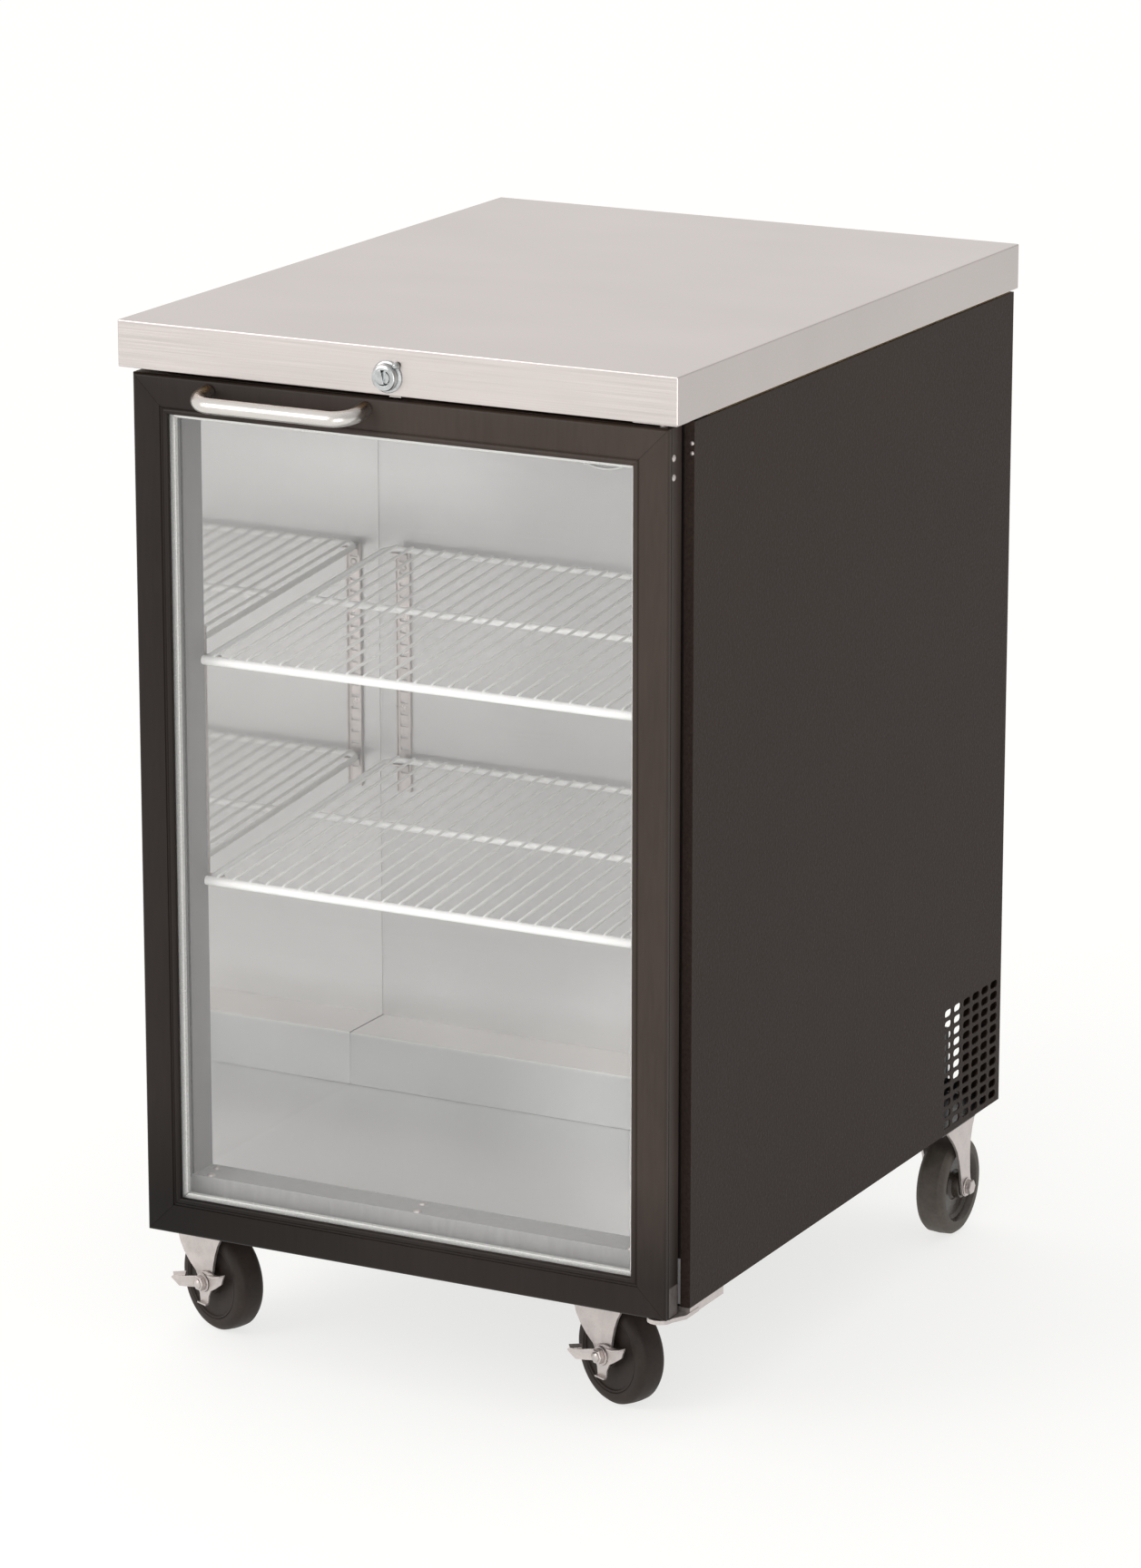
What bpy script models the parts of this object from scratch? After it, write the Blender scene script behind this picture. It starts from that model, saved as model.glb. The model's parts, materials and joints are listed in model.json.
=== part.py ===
"""Under counter fridge: a glass-door back-bar cooler on four casters.

Lengths are metres.  The world origin is at the middle of the footprint on the floor, +Z is up
and the door faces -Y.  Inside the functions a place is given as (x, y, d): x to the right of
the middle of the worktop, y behind its front edge and d below its top.  At the end everything
moves sideways a little, because one front wheel is swivelled out past the worktop.
"""
import math

import bmesh
import bpy
from mathutils import Vector

# ---------------------------------------------------------------- driving dimensions
WORKTOP_WIDTH = 0.580
WORKTOP_DEPTH = 0.746
WORKTOP_HEIGHT = 0.0445
TOTAL_HEIGHT = 1.013
SHEET = 0.0015
GAP = 0.0003

CABINET_HALF = 0.287
CABINET_FRONT = 0.039
CABINET_BACK = 0.742
CABINET_TOP = 0.0475
CABINET_BOTTOM = 0.884

DOOR_LEFT = -0.280
DOOR_RIGHT = 0.277
DOOR_TOP = 0.050
DOOR_BOTTOM = 0.889
DOOR_FRONT = 0.008
DOOR_DEPTH = 0.0255
RAIL_WIDTH = 0.037
PANE_INSET = 0.0263
PANE_THICKNESS = 0.004
HINGE_X = 0.266
HINGE_Y = 0.020
PIN_RADIUS = 0.004
MITRE_GAP = 0.0002

JAMB_HALF = 0.247
JAMB_BACK = 0.075
SILL = 0.8383
LINER_HALF = 0.252
LINER_CEILING = 0.080
LINER_FLOOR = 0.838
AIR_PANEL_FRONT = 0.420
CHAMBER_BACK = 0.640
BAY_FRONT = 0.455
BAY_TOP = 0.632

SHELF_HALF = 0.238
SHELF_FRONT = 0.052
SHELF_BACK = 0.412
SHELF_DEPTHS = {"upper": 0.312, "lower": 0.528}
SLOT_PITCH = 0.0120
SHELF_RISE = 3 * SLOT_PITCH
FRONT_STRIP = (0.0755, 0.0835)
WIRE_COUNT = 26
WIRE_RADIUS = 0.0016
SHELF_ROD = 0.0030

HANDLE_LEFT = -0.198
HANDLE_RIGHT = -0.032
HANDLE_RADIUS = 0.0075
HANDLE_BAR_FRONT = -0.025

LOCK_X = -0.004
LOCK_DEPTH = 0.027

WHEEL_RADIUS = 0.051
WHEEL_WIDTH = 0.030
FRONT_KINGPIN = (0.218, 0.084)
REAR_KINGPIN = (0.258, 0.650)
FRONT_TRAIL = 0.036
REAR_TRAIL = 0.034
FRONT_HEADING = math.radians(156.0)
REAR_HEADING = math.radians(90.0)
SIDE_SHIFT = 0.0056

GLAND_X = -0.225
GLAND_DEPTH = 0.660

VENT_COLUMNS = 6
VENT_ROWS = 11

HANDLE_REACH = HANDLE_RADIUS - HANDLE_BAR_FRONT
FRONT_EDGE = HANDLE_REACH - (WORKTOP_DEPTH + HANDLE_REACH) / 2

# ---------------------------------------------------------------- scene set-up
for old in list(bpy.data.objects):
    bpy.data.objects.remove(old, do_unlink=True)

PARTS = bpy.data.collections.new("under_counter_fridge")
CUTTERS = bpy.data.collections.new("cutters")
bpy.context.scene.collection.children.link(PARTS)
bpy.context.scene.collection.children.link(CUTTERS)

FINISHES = {
    "stainless": ((0.62, 0.60, 0.58), 1.0, 0.32),
    "black_steel": ((0.045, 0.038, 0.034), 0.0, 0.55),
    "door_black": ((0.050, 0.042, 0.038), 0.0, 0.38),
    "galvanised": ((0.56, 0.57, 0.57), 0.9, 0.35),
    "zinc": ((0.66, 0.63, 0.62), 0.9, 0.35),
    "aluminium": ((0.70, 0.69, 0.67), 1.0, 0.28),
    "glass": ((0.80, 0.86, 0.85), 0.0, 0.05),
    "white_coat": ((0.85, 0.86, 0.86), 0.0, 0.35),
    "rubber": ((0.020, 0.018, 0.017), 0.0, 0.60),
    "grey_plastic": ((0.35, 0.35, 0.36), 0.0, 0.50),
    "black_plastic": ((0.030, 0.030, 0.030), 0.0, 0.50),
    "foam": ((0.75, 0.68, 0.45), 0.0, 0.90),
    "board": ((0.45, 0.33, 0.20), 0.0, 0.80),
    "copper": ((0.70, 0.36, 0.22), 1.0, 0.30),
}


def finish(obj, finish_name):
    """Give the object its own material with the named colour, roughness and metal."""
    colour, metallic, roughness = FINISHES[finish_name]
    material = bpy.data.materials.new(obj.name)
    material.use_nodes = True
    shader = material.node_tree.nodes["Principled BSDF"]
    shader.inputs["Base Color"].default_value = (*colour, 1.0)
    shader.inputs["Metallic"].default_value = metallic
    shader.inputs["Roughness"].default_value = roughness
    obj.data.materials.clear()
    obj.data.materials.append(material)


def place(x, y, d):
    """World position of a place on the cabinet."""
    return Vector((x, FRONT_EDGE + y, TOTAL_HEIGHT - d))


def add(name, mesh, finish_name, location=(0, 0, 0), rotation=(0, 0, 0), parent=None):
    """Link a part, or a cutter where the finish is None."""
    obj = bpy.data.objects.new(name, mesh)
    obj.location = location
    obj.rotation_euler = rotation
    obj.parent = parent
    if finish_name is None:
        CUTTERS.objects.link(obj)
        obj.hide_render = True
        obj.display_type = "WIRE"
    else:
        PARTS.objects.link(obj)
        finish(obj, finish_name)
    return obj


def pivot(name, location, rotation=(0, 0, 0)):
    """An empty that a moving group hangs from."""
    empty = bpy.data.objects.new(name, None)
    empty.location = location
    empty.rotation_euler = rotation
    PARTS.objects.link(empty)
    return empty


def boolean(target, tool, operation="DIFFERENCE"):
    modifier = target.modifiers.new(tool.name, "BOOLEAN")
    modifier.operation = operation
    modifier.object = tool


def soften(obj, width, segments=2):
    """Round the edges of an object."""
    modifier = obj.modifiers.new("soften", "BEVEL")
    modifier.width = width
    modifier.segments = segments
    modifier.limit_method = "ANGLE"
    modifier.angle_limit = math.radians(40)


# ---------------------------------------------------------------- basic shapes
def block_mesh(name, size):
    mesh = bpy.data.meshes.new(name)
    bm = bmesh.new()
    bmesh.ops.create_cube(bm, size=1.0)
    bmesh.ops.scale(bm, vec=size, verts=bm.verts)
    bm.to_mesh(mesh)
    bm.free()
    return mesh


def block(name, xs, ys, ds, finish_name, parent=None):
    """A box between two x, two y and two d values of the cabinet."""
    low = place(xs[0], ys[0], ds[1])
    high = place(xs[1], ys[1], ds[0])
    centre = (low + high) / 2
    if parent is not None:
        centre = centre - parent.location
    return add(name, block_mesh(name, high - low), finish_name, centre, parent=parent)


def cylinder_mesh(name, radius, length, sides=24):
    mesh = bpy.data.meshes.new(name)
    bm = bmesh.new()
    bmesh.ops.create_cone(
        bm, cap_ends=True, segments=sides, radius1=radius, radius2=radius, depth=length
    )
    bm.to_mesh(mesh)
    bm.free()
    mesh.shade_smooth()
    mesh.set_sharp_from_angle(angle=math.radians(40))
    return mesh


def mesh_of_curve(curve):
    """Closed mesh of a curve's evaluated shape, with its caps welded on."""
    obj = bpy.data.objects.new("curve_source", curve)
    bpy.context.scene.collection.objects.link(obj)
    bpy.context.view_layer.update()
    evaluated = obj.evaluated_get(bpy.context.evaluated_depsgraph_get())
    mesh = bpy.data.meshes.new_from_object(evaluated)
    bpy.data.objects.remove(obj, do_unlink=True)
    bm = bmesh.new()
    bm.from_mesh(mesh)
    bmesh.ops.remove_doubles(bm, verts=bm.verts, dist=1e-6)
    bmesh.ops.recalc_face_normals(bm, faces=bm.faces)
    bm.to_mesh(mesh)
    bm.free()
    return mesh


def outline_mesh(outlines, thickness):
    """Flat outlines in local XY, extruded by the thickness along local Z."""
    curve = bpy.data.curves.new("outline", "CURVE")
    curve.dimensions = "2D"
    curve.fill_mode = "BOTH"
    curve.extrude = thickness / 2
    for points in outlines:
        spline = curve.splines.new("POLY")
        spline.points.add(len(points) - 1)
        spline.use_cyclic_u = True
        for point, (x, y) in zip(spline.points, points):
            point.co = (x, y, 0.0, 1.0)
    return mesh_of_curve(curve)


def tube_mesh(points, radius, resolution=2, cyclic=False):
    curve = bpy.data.curves.new("tube", "CURVE")
    curve.dimensions = "3D"
    curve.bevel_depth = radius
    curve.bevel_resolution = resolution
    curve.use_fill_caps = True
    spline = curve.splines.new("POLY")
    spline.points.add(len(points) - 1)
    spline.use_cyclic_u = cyclic
    for point, position in zip(spline.points, points):
        point.co = (*position, 1.0)
    mesh = mesh_of_curve(curve)
    mesh.shade_smooth()
    mesh.set_sharp_from_angle(angle=math.radians(50))
    return mesh


def turned(name, profile, finish_name, steps=28, closed=False, **where):
    """A shape turned about local Z; the profile (radius, height) runs down its outer side."""
    mesh = bpy.data.meshes.new(name)
    bm = bmesh.new()
    verts = [bm.verts.new((radius, 0.0, height)) for radius, height in profile]
    for first, second in zip(verts, verts[1:]):
        bm.edges.new((first, second))
    if closed:
        bm.edges.new((verts[-1], verts[0]))
    bm.to_mesh(mesh)
    bm.free()
    obj = add(name, mesh, finish_name, **where)
    screw = obj.modifiers.new("turn", "SCREW")
    screw.steps = steps
    screw.render_steps = steps
    screw.use_merge_vertices = True
    screw.merge_threshold = 0.00001
    screw.use_smooth_shade = True
    return obj


def arc(centre, radius, start, end, count):
    """Points of an arc in a plane, angles in degrees."""
    points = []
    for index in range(count + 1):
        angle = math.radians(start + (end - start) * index / count)
        points.append((centre[0] + radius * math.cos(angle), centre[1] + radius * math.sin(angle)))
    return points


def rounded_path(corners, radius, steps):
    """3-D path through the corners, each inner corner rounded with an arc-like bend."""
    corners = [Vector(corner) for corner in corners]
    path = [corners[0]]
    for before, corner, after in zip(corners, corners[1:], corners[2:]):
        start = corner + (before - corner).normalized() * radius
        end = corner + (after - corner).normalized() * radius
        for index in range(steps + 1):
            t = index / steps
            path.append(start * (1 - t) ** 2 + corner * 2 * t * (1 - t) + end * t ** 2)
    path.append(corners[-1])
    return path


PLATE_YZ = (math.pi / 2, 0, math.pi / 2)
PLATE_XZ = (math.pi / 2, 0, 0)


def side_profile(name, points, half_width, finish_name, middle=0.0):
    """An outline of (y, d) points, extruded across the width of the cabinet."""
    outline = [(FRONT_EDGE + y, TOTAL_HEIGHT - d) for y, d in points]
    return add(name, outline_mesh([outline], 2 * half_width), finish_name, (middle, 0, 0), PLATE_YZ)


# ---------------------------------------------------------------- worktop
def make_worktop():
    half = WORKTOP_WIDTH / 2
    skin = block("worktop", (-half, half), (0, WORKTOP_DEPTH), (0, WORKTOP_HEIGHT), "stainless")
    soften(skin, 0.0012)
    wall = 0.0012
    hollow = block("worktop_hollow", (wall - half, half - wall), (wall, WORKTOP_DEPTH - wall),
                   (wall, WORKTOP_HEIGHT + 0.01), None)
    boolean(skin, hollow)
    inset = wall + GAP
    core = block("worktop_core", (inset - half, half - inset), (inset, WORKTOP_DEPTH - inset),
                 (inset, WORKTOP_HEIGHT - GAP), "board")
    pocket = block("lock_pocket", (LOCK_X - 0.018, LOCK_X + 0.018), (-0.01, 0.042),
                   (0.008, WORKTOP_HEIGHT + 0.01), None)
    boolean(core, pocket)
    bore = add("lock_bore", cylinder_mesh("lock_bore", 0.0098, 0.02), None,
               place(LOCK_X, 0, LOCK_DEPTH), (math.pi / 2, 0, 0))
    boolean(skin, bore)


# ---------------------------------------------------------------- cabinet shell
def slot_outline(centre, length, height):
    """A slot with round ends, its long side along the first axis."""
    x, y = centre
    end = (length - height) / 2
    right = arc((x + end, y), height / 2, -90, 90, 2)
    left = arc((x - end, y), height / 2, 90, 270, 2)
    return right + left


def make_side_panels():
    flange = 0.010
    rear_flange = 0.050
    front = CABINET_FRONT
    back = CABINET_BACK
    height = CABINET_BOTTOM - CABINET_TOP
    half = CABINET_HALF
    section = [
        (half, front), (half, back), (half - rear_flange, back), (half - rear_flange, back - SHEET),
        (half - SHEET, back - SHEET), (half - SHEET, front + SHEET),
        (half - flange, front + SHEET), (half - flange, front),
    ]
    slots = []
    for column in range(VENT_COLUMNS):
        for row in range(VENT_ROWS):
            y = FRONT_EDGE + 0.6135 + 0.0222 * column
            z = TOTAL_HEIGHT - 0.7570 - 0.0117 * row
            slots.append(slot_outline((y, z), 0.0170, 0.0078))
    middle = TOTAL_HEIGHT - (CABINET_TOP + CABINET_BOTTOM) / 2
    for side, sign in (("right", 1), ("left", -1)):
        outline = [(sign * x, FRONT_EDGE + y) for x, y in section]
        panel = add("side_panel_" + side, outline_mesh([outline], height), "black_steel",
                    (0, 0, middle))
        vents = add("vents_" + side, outline_mesh(slots, 0.01), None, (sign * half, 0, 0), PLATE_YZ)
        boolean(panel, vents)


def make_back_and_base():
    half = CABINET_HALF - SHEET - GAP
    inner_back = CABINET_BACK - SHEET - GAP
    block("base_pan", (-half, half), (CABINET_FRONT + SHEET + GAP, inner_back),
          (CABINET_BOTTOM - SHEET, CABINET_BOTTOM), "galvanised")
    block("back_panel", (-half, half), (inner_back - SHEET, inner_back),
          (CABINET_TOP, BAY_TOP - GAP), "black_steel")
    grille = block("rear_grille", (-half, 0.120), (inner_back - SHEET, inner_back),
                   (BAY_TOP + GAP, CABINET_BOTTOM - SHEET - GAP), "black_steel")
    slots = []
    for column in range(3):
        for row in range(8):
            x = -0.205 + 0.122 * column
            z = TOTAL_HEIGHT - 0.690 - 0.018 * row
            slots.append(slot_outline((x, z), 0.100, 0.008))
    grille_slots = add("grille_slots", outline_mesh(slots, 0.02), None,
                       (0, FRONT_EDGE + inner_back, 0), PLATE_XZ)
    boolean(grille, grille_slots)
    gland_hole = add("gland_hole", cylinder_mesh("gland_hole", 0.0085, 0.02), None,
                     place(GLAND_X, inner_back, GLAND_DEPTH), (math.pi / 2, 0, 0))
    boolean(grille, gland_hole)


def make_front_frame():
    half = CABINET_HALF - SHEET - GAP
    frame = block("front_frame", (-half, half), (CABINET_FRONT + SHEET + GAP, JAMB_BACK),
                  (CABINET_TOP + 0.0011, CABINET_BOTTOM - SHEET - GAP), "grey_plastic")
    opening = block("front_opening", (-JAMB_HALF, JAMB_HALF), (0, 0.2), (LINER_CEILING, SILL), None)
    boolean(frame, opening)


def make_liner():
    """Inner tub, open to the front, deeper above the machine bay."""
    wall = SHEET

    def step_outline(grow, front):
        return [
            (front, LINER_FLOOR + grow), (0.425 + grow, LINER_FLOOR + grow),
            (0.425 + grow, 0.600 + grow), (CHAMBER_BACK + grow, 0.600 + grow),
            (CHAMBER_BACK + grow, LINER_CEILING - grow), (front, LINER_CEILING - grow),
        ]

    liner = side_profile("liner", step_outline(wall, JAMB_BACK + GAP), LINER_HALF + wall,
                         "galvanised")
    hollow = side_profile("liner_hollow", step_outline(0, 0.0), LINER_HALF, None)
    boolean(liner, hollow)

    half = CABINET_HALF - SHEET - 2 * GAP
    back = CABINET_BACK - 2 * SHEET - 2 * GAP
    bottom = CABINET_BOTTOM - SHEET - GAP
    front = JAMB_BACK + GAP
    block_outline = [
        (front, bottom), (BAY_FRONT, bottom), (BAY_FRONT, BAY_TOP), (back, BAY_TOP),
        (back, CABINET_TOP), (front, CABINET_TOP),
    ]
    foam = side_profile("insulation", block_outline, half, "foam")
    cavity = side_profile("foam_cavity", step_outline(wall + GAP, 0.0), LINER_HALF + wall + GAP, None)
    boolean(foam, cavity)


def make_air_panel():
    """Removable sheet in front of the evaporator, its foot folded into a ledge and a riser."""
    front = AIR_PANEL_FRONT
    ledge_front = 0.353
    ledge = 0.783
    foot = LINER_FLOOR - GAP
    sheet = SHEET
    points = [
        (front, LINER_CEILING + GAP), (front, ledge), (ledge_front, ledge), (ledge_front, foot),
        (ledge_front + sheet, foot), (ledge_front + sheet, ledge + sheet),
        (front + sheet, ledge + sheet), (front + sheet, LINER_CEILING + GAP),
    ]
    panel = side_profile("rear_air_panel", points, LINER_HALF - 0.001, "galvanised")
    outlet = add("fan_outlet", cylinder_mesh("fan_outlet", 0.050, 0.03), None,
                 place(0, front, 0.140), (math.pi / 2, 0, 0))
    boolean(panel, outlet)


# ---------------------------------------------------------------- shelves and pilasters
def shelf_drop(y):
    """How much lower than its middle depth a shelf hangs at y: the front clips sit three slots down."""
    middle = (SHELF_FRONT + SHELF_BACK) / 2
    return SHELF_RISE * (middle - y) / (SHELF_BACK - SHELF_FRONT)


def make_wire_mesh(half_length, lift):
    """All the front-to-back wires of a shelf, as square bars side by side."""
    mesh = bpy.data.meshes.new("wires")
    bm = bmesh.new()
    pitch = 2 * (SHELF_HALF - 0.013) / (WIRE_COUNT - 1)
    size = Vector((2 * WIRE_RADIUS, 2 * half_length, 2 * WIRE_RADIUS))
    for index in range(WIRE_COUNT):
        made = bmesh.ops.create_cube(bm, size=1.0)
        bmesh.ops.scale(bm, vec=size, verts=made["verts"])
        x = (index - (WIRE_COUNT - 1) / 2) * pitch
        bmesh.ops.translate(bm, vec=(x, 0, lift), verts=made["verts"])
    bm.to_mesh(mesh)
    bm.free()
    return mesh


def make_shelf(label, depth):
    """A wire shelf: a rim of rod, a thick front bar, a middle bar and the wires on top."""
    half_length = (SHELF_BACK - SHELF_FRONT) / 2
    tilt = math.atan(SHELF_RISE / (SHELF_BACK - SHELF_FRONT))
    centre = place(0, (SHELF_FRONT + SHELF_BACK) / 2, depth)
    where = {"location": centre, "rotation": (tilt, 0, 0)}
    side = SHELF_HALF - SHELF_ROD
    end = half_length - SHELF_ROD
    rim = [(-side, -end, 0), (side, -end, 0), (side, end, 0), (-side, end, 0)]
    shelf = add("shelf_" + label, tube_mesh(rim, SHELF_ROD, 1, cyclic=True), "white_coat", **where)
    front_rod = [(-SHELF_HALF, -end, -0.0007), (SHELF_HALF, -end, -0.0007)]
    middle_rod = [(-side, 0.013, -0.0004), (side, 0.013, -0.0004)]
    rods = {
        "front_bar": tube_mesh(front_rod, 0.0045, 1),
        "middle_bar": tube_mesh(middle_rod, 0.0034, 1),
        "wires": make_wire_mesh(half_length - 0.0017, SHELF_ROD + 0.0009),
    }
    for rod_name, mesh in rods.items():
        boolean(shelf, add("%s_%s" % (rod_name, label), mesh, None, **where), "UNION")


def make_pilaster(end, side):
    """Slotted strip that carries the shelf clips of one corner."""
    sign = 1 if side == "right" else -1
    top = 0.295 if end == "rear" else 0.305
    bottom = top + 0.250
    strip = 0.0036 if end == "rear" else 0.0024
    name = "pilaster_%s_%s" % (end, side)
    if end == "rear":
        middle = sign * 0.224
        xs = (middle - 0.008, middle + 0.008)
        ys = (AIR_PANEL_FRONT - GAP - strip, AIR_PANEL_FRONT - GAP)
    else:
        outer = sign * (LINER_HALF - GAP)
        xs = sorted((outer, outer - sign * strip))
        ys = FRONT_STRIP
    pilaster = block(name, xs, ys, (top, bottom), "galvanised")
    slots = []
    for index in range(18):
        slots.append(top + 0.014 + SLOT_PITCH * index)
    mesh = bpy.data.meshes.new("slots")
    bm = bmesh.new()
    size = (0.008, 0.02, 0.0034) if end == "rear" else (0.02, 0.004, 0.0034)
    centre = place(sum(xs) / 2, sum(ys) / 2, 0)
    for depth in slots:
        made = bmesh.ops.create_cube(bm, size=1.0)
        bmesh.ops.scale(bm, vec=size, verts=made["verts"])
        position = Vector((centre.x, centre.y, TOTAL_HEIGHT - depth))
        bmesh.ops.translate(bm, vec=position, verts=made["verts"])
    bm.to_mesh(mesh)
    bm.free()
    boolean(pilaster, add("slots_" + name, mesh, None))
    for label, depth in SHELF_DEPTHS.items():
        if end == "rear":
            clip_xs = (sum(xs) / 2 - 0.007, sum(xs) / 2 + 0.007)
            clip_ys = (SHELF_BACK - 0.010, ys[0] + 0.0008)
            rest = SHELF_BACK
        else:
            inner = sign * (SHELF_HALF - 0.006)
            clip_xs = sorted((inner, sign * (LINER_HALF - strip + 0.0004)))
            clip_ys = (ys[0] + 0.0005, ys[1] - 0.0005)
            rest = clip_ys[0]
        clip_top = depth + shelf_drop(rest) + SHELF_ROD + 2 * GAP
        clip = block("clip_%s_%s" % (label, name), clip_xs, clip_ys,
                     (clip_top, clip_top + 0.0083), None)
        boolean(pilaster, clip, "UNION")


# ---------------------------------------------------------------- door
def rail(name, outline, length, rotation, location, parent, across):
    """A frame profile cut to a mitre at both ends; across is the axis of the rail's width."""
    mesh = outline_mesh([outline], length)
    for vertex in mesh.vertices:
        inset = abs(vertex.co[across]) + MITRE_GAP
        vertex.co.z -= math.copysign(inset, vertex.co.z)
    return add(name, mesh, "door_black", location, rotation, parent)


def frame_profile():
    """Section of the door frame as (inset from the edge, depth from the face)."""
    depth = DOOR_DEPTH
    lip = RAIL_WIDTH
    pocket = PANE_INSET - GAP
    return [
        (0, 0.0030), (0.0009, 0.0009), (0.0030, 0), (lip - 0.0065, 0), (lip - 0.0032, 0.0005),
        (lip - 0.0010, 0.0016), (lip, 0.0032), (pocket, 0.0032), (pocket, 0.0179),
        (lip - 0.002, 0.0179), (lip - 0.002, depth), (0, depth),
    ]


def make_door():
    hinge = pivot("door_hinge", place(HINGE_X, HINGE_Y, DOOR_BOTTOM))
    width = DOOR_RIGHT - DOOR_LEFT
    height = DOOR_BOTTOM - DOOR_TOP
    middle_x = (DOOR_LEFT + DOOR_RIGHT) / 2
    middle_d = (DOOR_TOP + DOOR_BOTTOM) / 2
    section = frame_profile()

    def at(x, d):
        return place(x, DOOR_FRONT, d) - hinge.location

    rails = {
        "top": rail("door_frame_top", [(v, -u) for u, v in section], width, PLATE_YZ,
                    at(middle_x, DOOR_TOP), hinge, 1),
        "bottom": rail("door_frame_bottom", [(v, u) for u, v in section], width, PLATE_YZ,
                       at(middle_x, DOOR_BOTTOM), hinge, 1),
        "left": rail("door_frame_left", section, height, (0, 0, 0),
                     at(DOOR_LEFT, middle_d), hinge, 0),
        "right": rail("door_frame_right", [(-u, v) for u, v in section], height, (0, 0, 0),
                      at(DOOR_RIGHT, middle_d), hinge, 0),
    }
    for end, d in (("top", DOOR_TOP), ("bottom", DOOR_BOTTOM)):
        hole_mesh = cylinder_mesh("pin_hole", PIN_RADIUS + 0.0006, 0.024, 16)
        hole = add("pin_hole_" + end, hole_mesh, None, place(HINGE_X, HINGE_Y, d))
        boolean(rails[end], hole)
        boolean(rails["right"], hole)
    strike = block("strike_hole", (LOCK_X - 0.007, LOCK_X + 0.007), (0.0125, 0.0275),
                   (DOOR_TOP - 0.01, DOOR_TOP + 0.0125), None)
    boolean(rails["top"], strike)

    inset = PANE_INSET
    pane_xs = (DOOR_LEFT + inset, DOOR_RIGHT - inset)
    pane_ds = (DOOR_TOP + inset, DOOR_BOTTOM - inset)
    outer_front = DOOR_FRONT + 0.0035
    inner_front = DOOR_FRONT + 0.0136
    block("glass_outer", pane_xs, (outer_front, outer_front + PANE_THICKNESS), pane_ds, "glass",
          hinge)
    block("glass_inner", pane_xs, (inner_front, inner_front + PANE_THICKNESS), pane_ds, "glass",
          hinge)
    spacer_ys = (outer_front + PANE_THICKNESS + GAP, inner_front - GAP)
    ring("glass_spacer", DOOR_LEFT + inset + 0.002, DOOR_RIGHT - inset - 0.002,
         DOOR_TOP + inset + 0.002, DOOR_BOTTOM - inset - 0.002, spacer_ys, 0.0122, "aluminium",
         hinge)
    gasket_ys = (DOOR_FRONT + DOOR_DEPTH + GAP, CABINET_FRONT + SHEET)
    ring("door_gasket", DOOR_LEFT + 0.016, DOOR_RIGHT - 0.016, DOOR_TOP + 0.016,
         DOOR_BOTTOM - 0.018, gasket_ys, 0.016, "rubber", hinge)
    make_handle(hinge)


def ring(name, left, right, top, bottom, ys, width, finish_name, parent):
    """A rectangular ring, such as a gasket."""
    obj = block(name, (left, right), ys, (top, bottom), finish_name, parent)
    hole = block(name + "_hole", (left + width, right - width), (ys[0] - 0.01, ys[1] + 0.01),
                 (top + width, bottom - width), None)
    boolean(obj, hole)
    return obj


def make_handle(hinge):
    foot = DOOR_FRONT - GAP
    neck = foot - 0.005
    corners = [
        place(HANDLE_LEFT, neck, 0.0610), place(HANDLE_LEFT, HANDLE_BAR_FRONT, 0.0665),
        place(HANDLE_RIGHT, HANDLE_BAR_FRONT, 0.0665), place(HANDLE_RIGHT, neck, 0.0610),
    ]
    path = [place(HANDLE_LEFT, foot, 0.0610)]
    path += rounded_path(corners, 0.022, 6)
    path.append(place(HANDLE_RIGHT, foot, 0.0610))
    path = [point - hinge.location for point in path]
    add("door_handle", tube_mesh(path, HANDLE_RADIUS, 3), "aluminium", parent=hinge)


def make_hinge_brackets():
    upper = block("top_hinge_bracket", (0.240, 0.284), (0.010, 0.060), (0.0448, 0.0472), "zinc")
    upper_pin = add("upper_pin", cylinder_mesh("upper_pin", PIN_RADIUS, 0.0125, 16), None,
                    place(HINGE_X, HINGE_Y, 0.0525))
    boolean(upper, upper_pin, "UNION")

    plate_top = DOOR_BOTTOM + GAP
    thickness = 0.004
    tongue = arc((HINGE_X, FRONT_EDGE + HINGE_Y), 0.0125, 180, 360, 8)
    tongue += [(0.2860, FRONT_EDGE + 0.034), (0.2860, FRONT_EDGE + 0.060),
               (0.2535, FRONT_EDGE + 0.060)]
    lower = add("bottom_hinge_bracket", outline_mesh([tongue], thickness), "zinc",
                (0, 0, TOTAL_HEIGHT - plate_top - thickness / 2))
    riser = block("bracket_riser", (0.2545, 0.2855), (0.042, 0.112),
                  (CABINET_BOTTOM + GAP, plate_top + thickness - 0.0005), None)
    boolean(lower, riser, "UNION")
    lower_pin = add("lower_pin", cylinder_mesh("lower_pin", PIN_RADIUS, 0.0125, 16), None,
                    place(HINGE_X, HINGE_Y, 0.8845))
    boolean(lower, lower_pin, "UNION")


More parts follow.
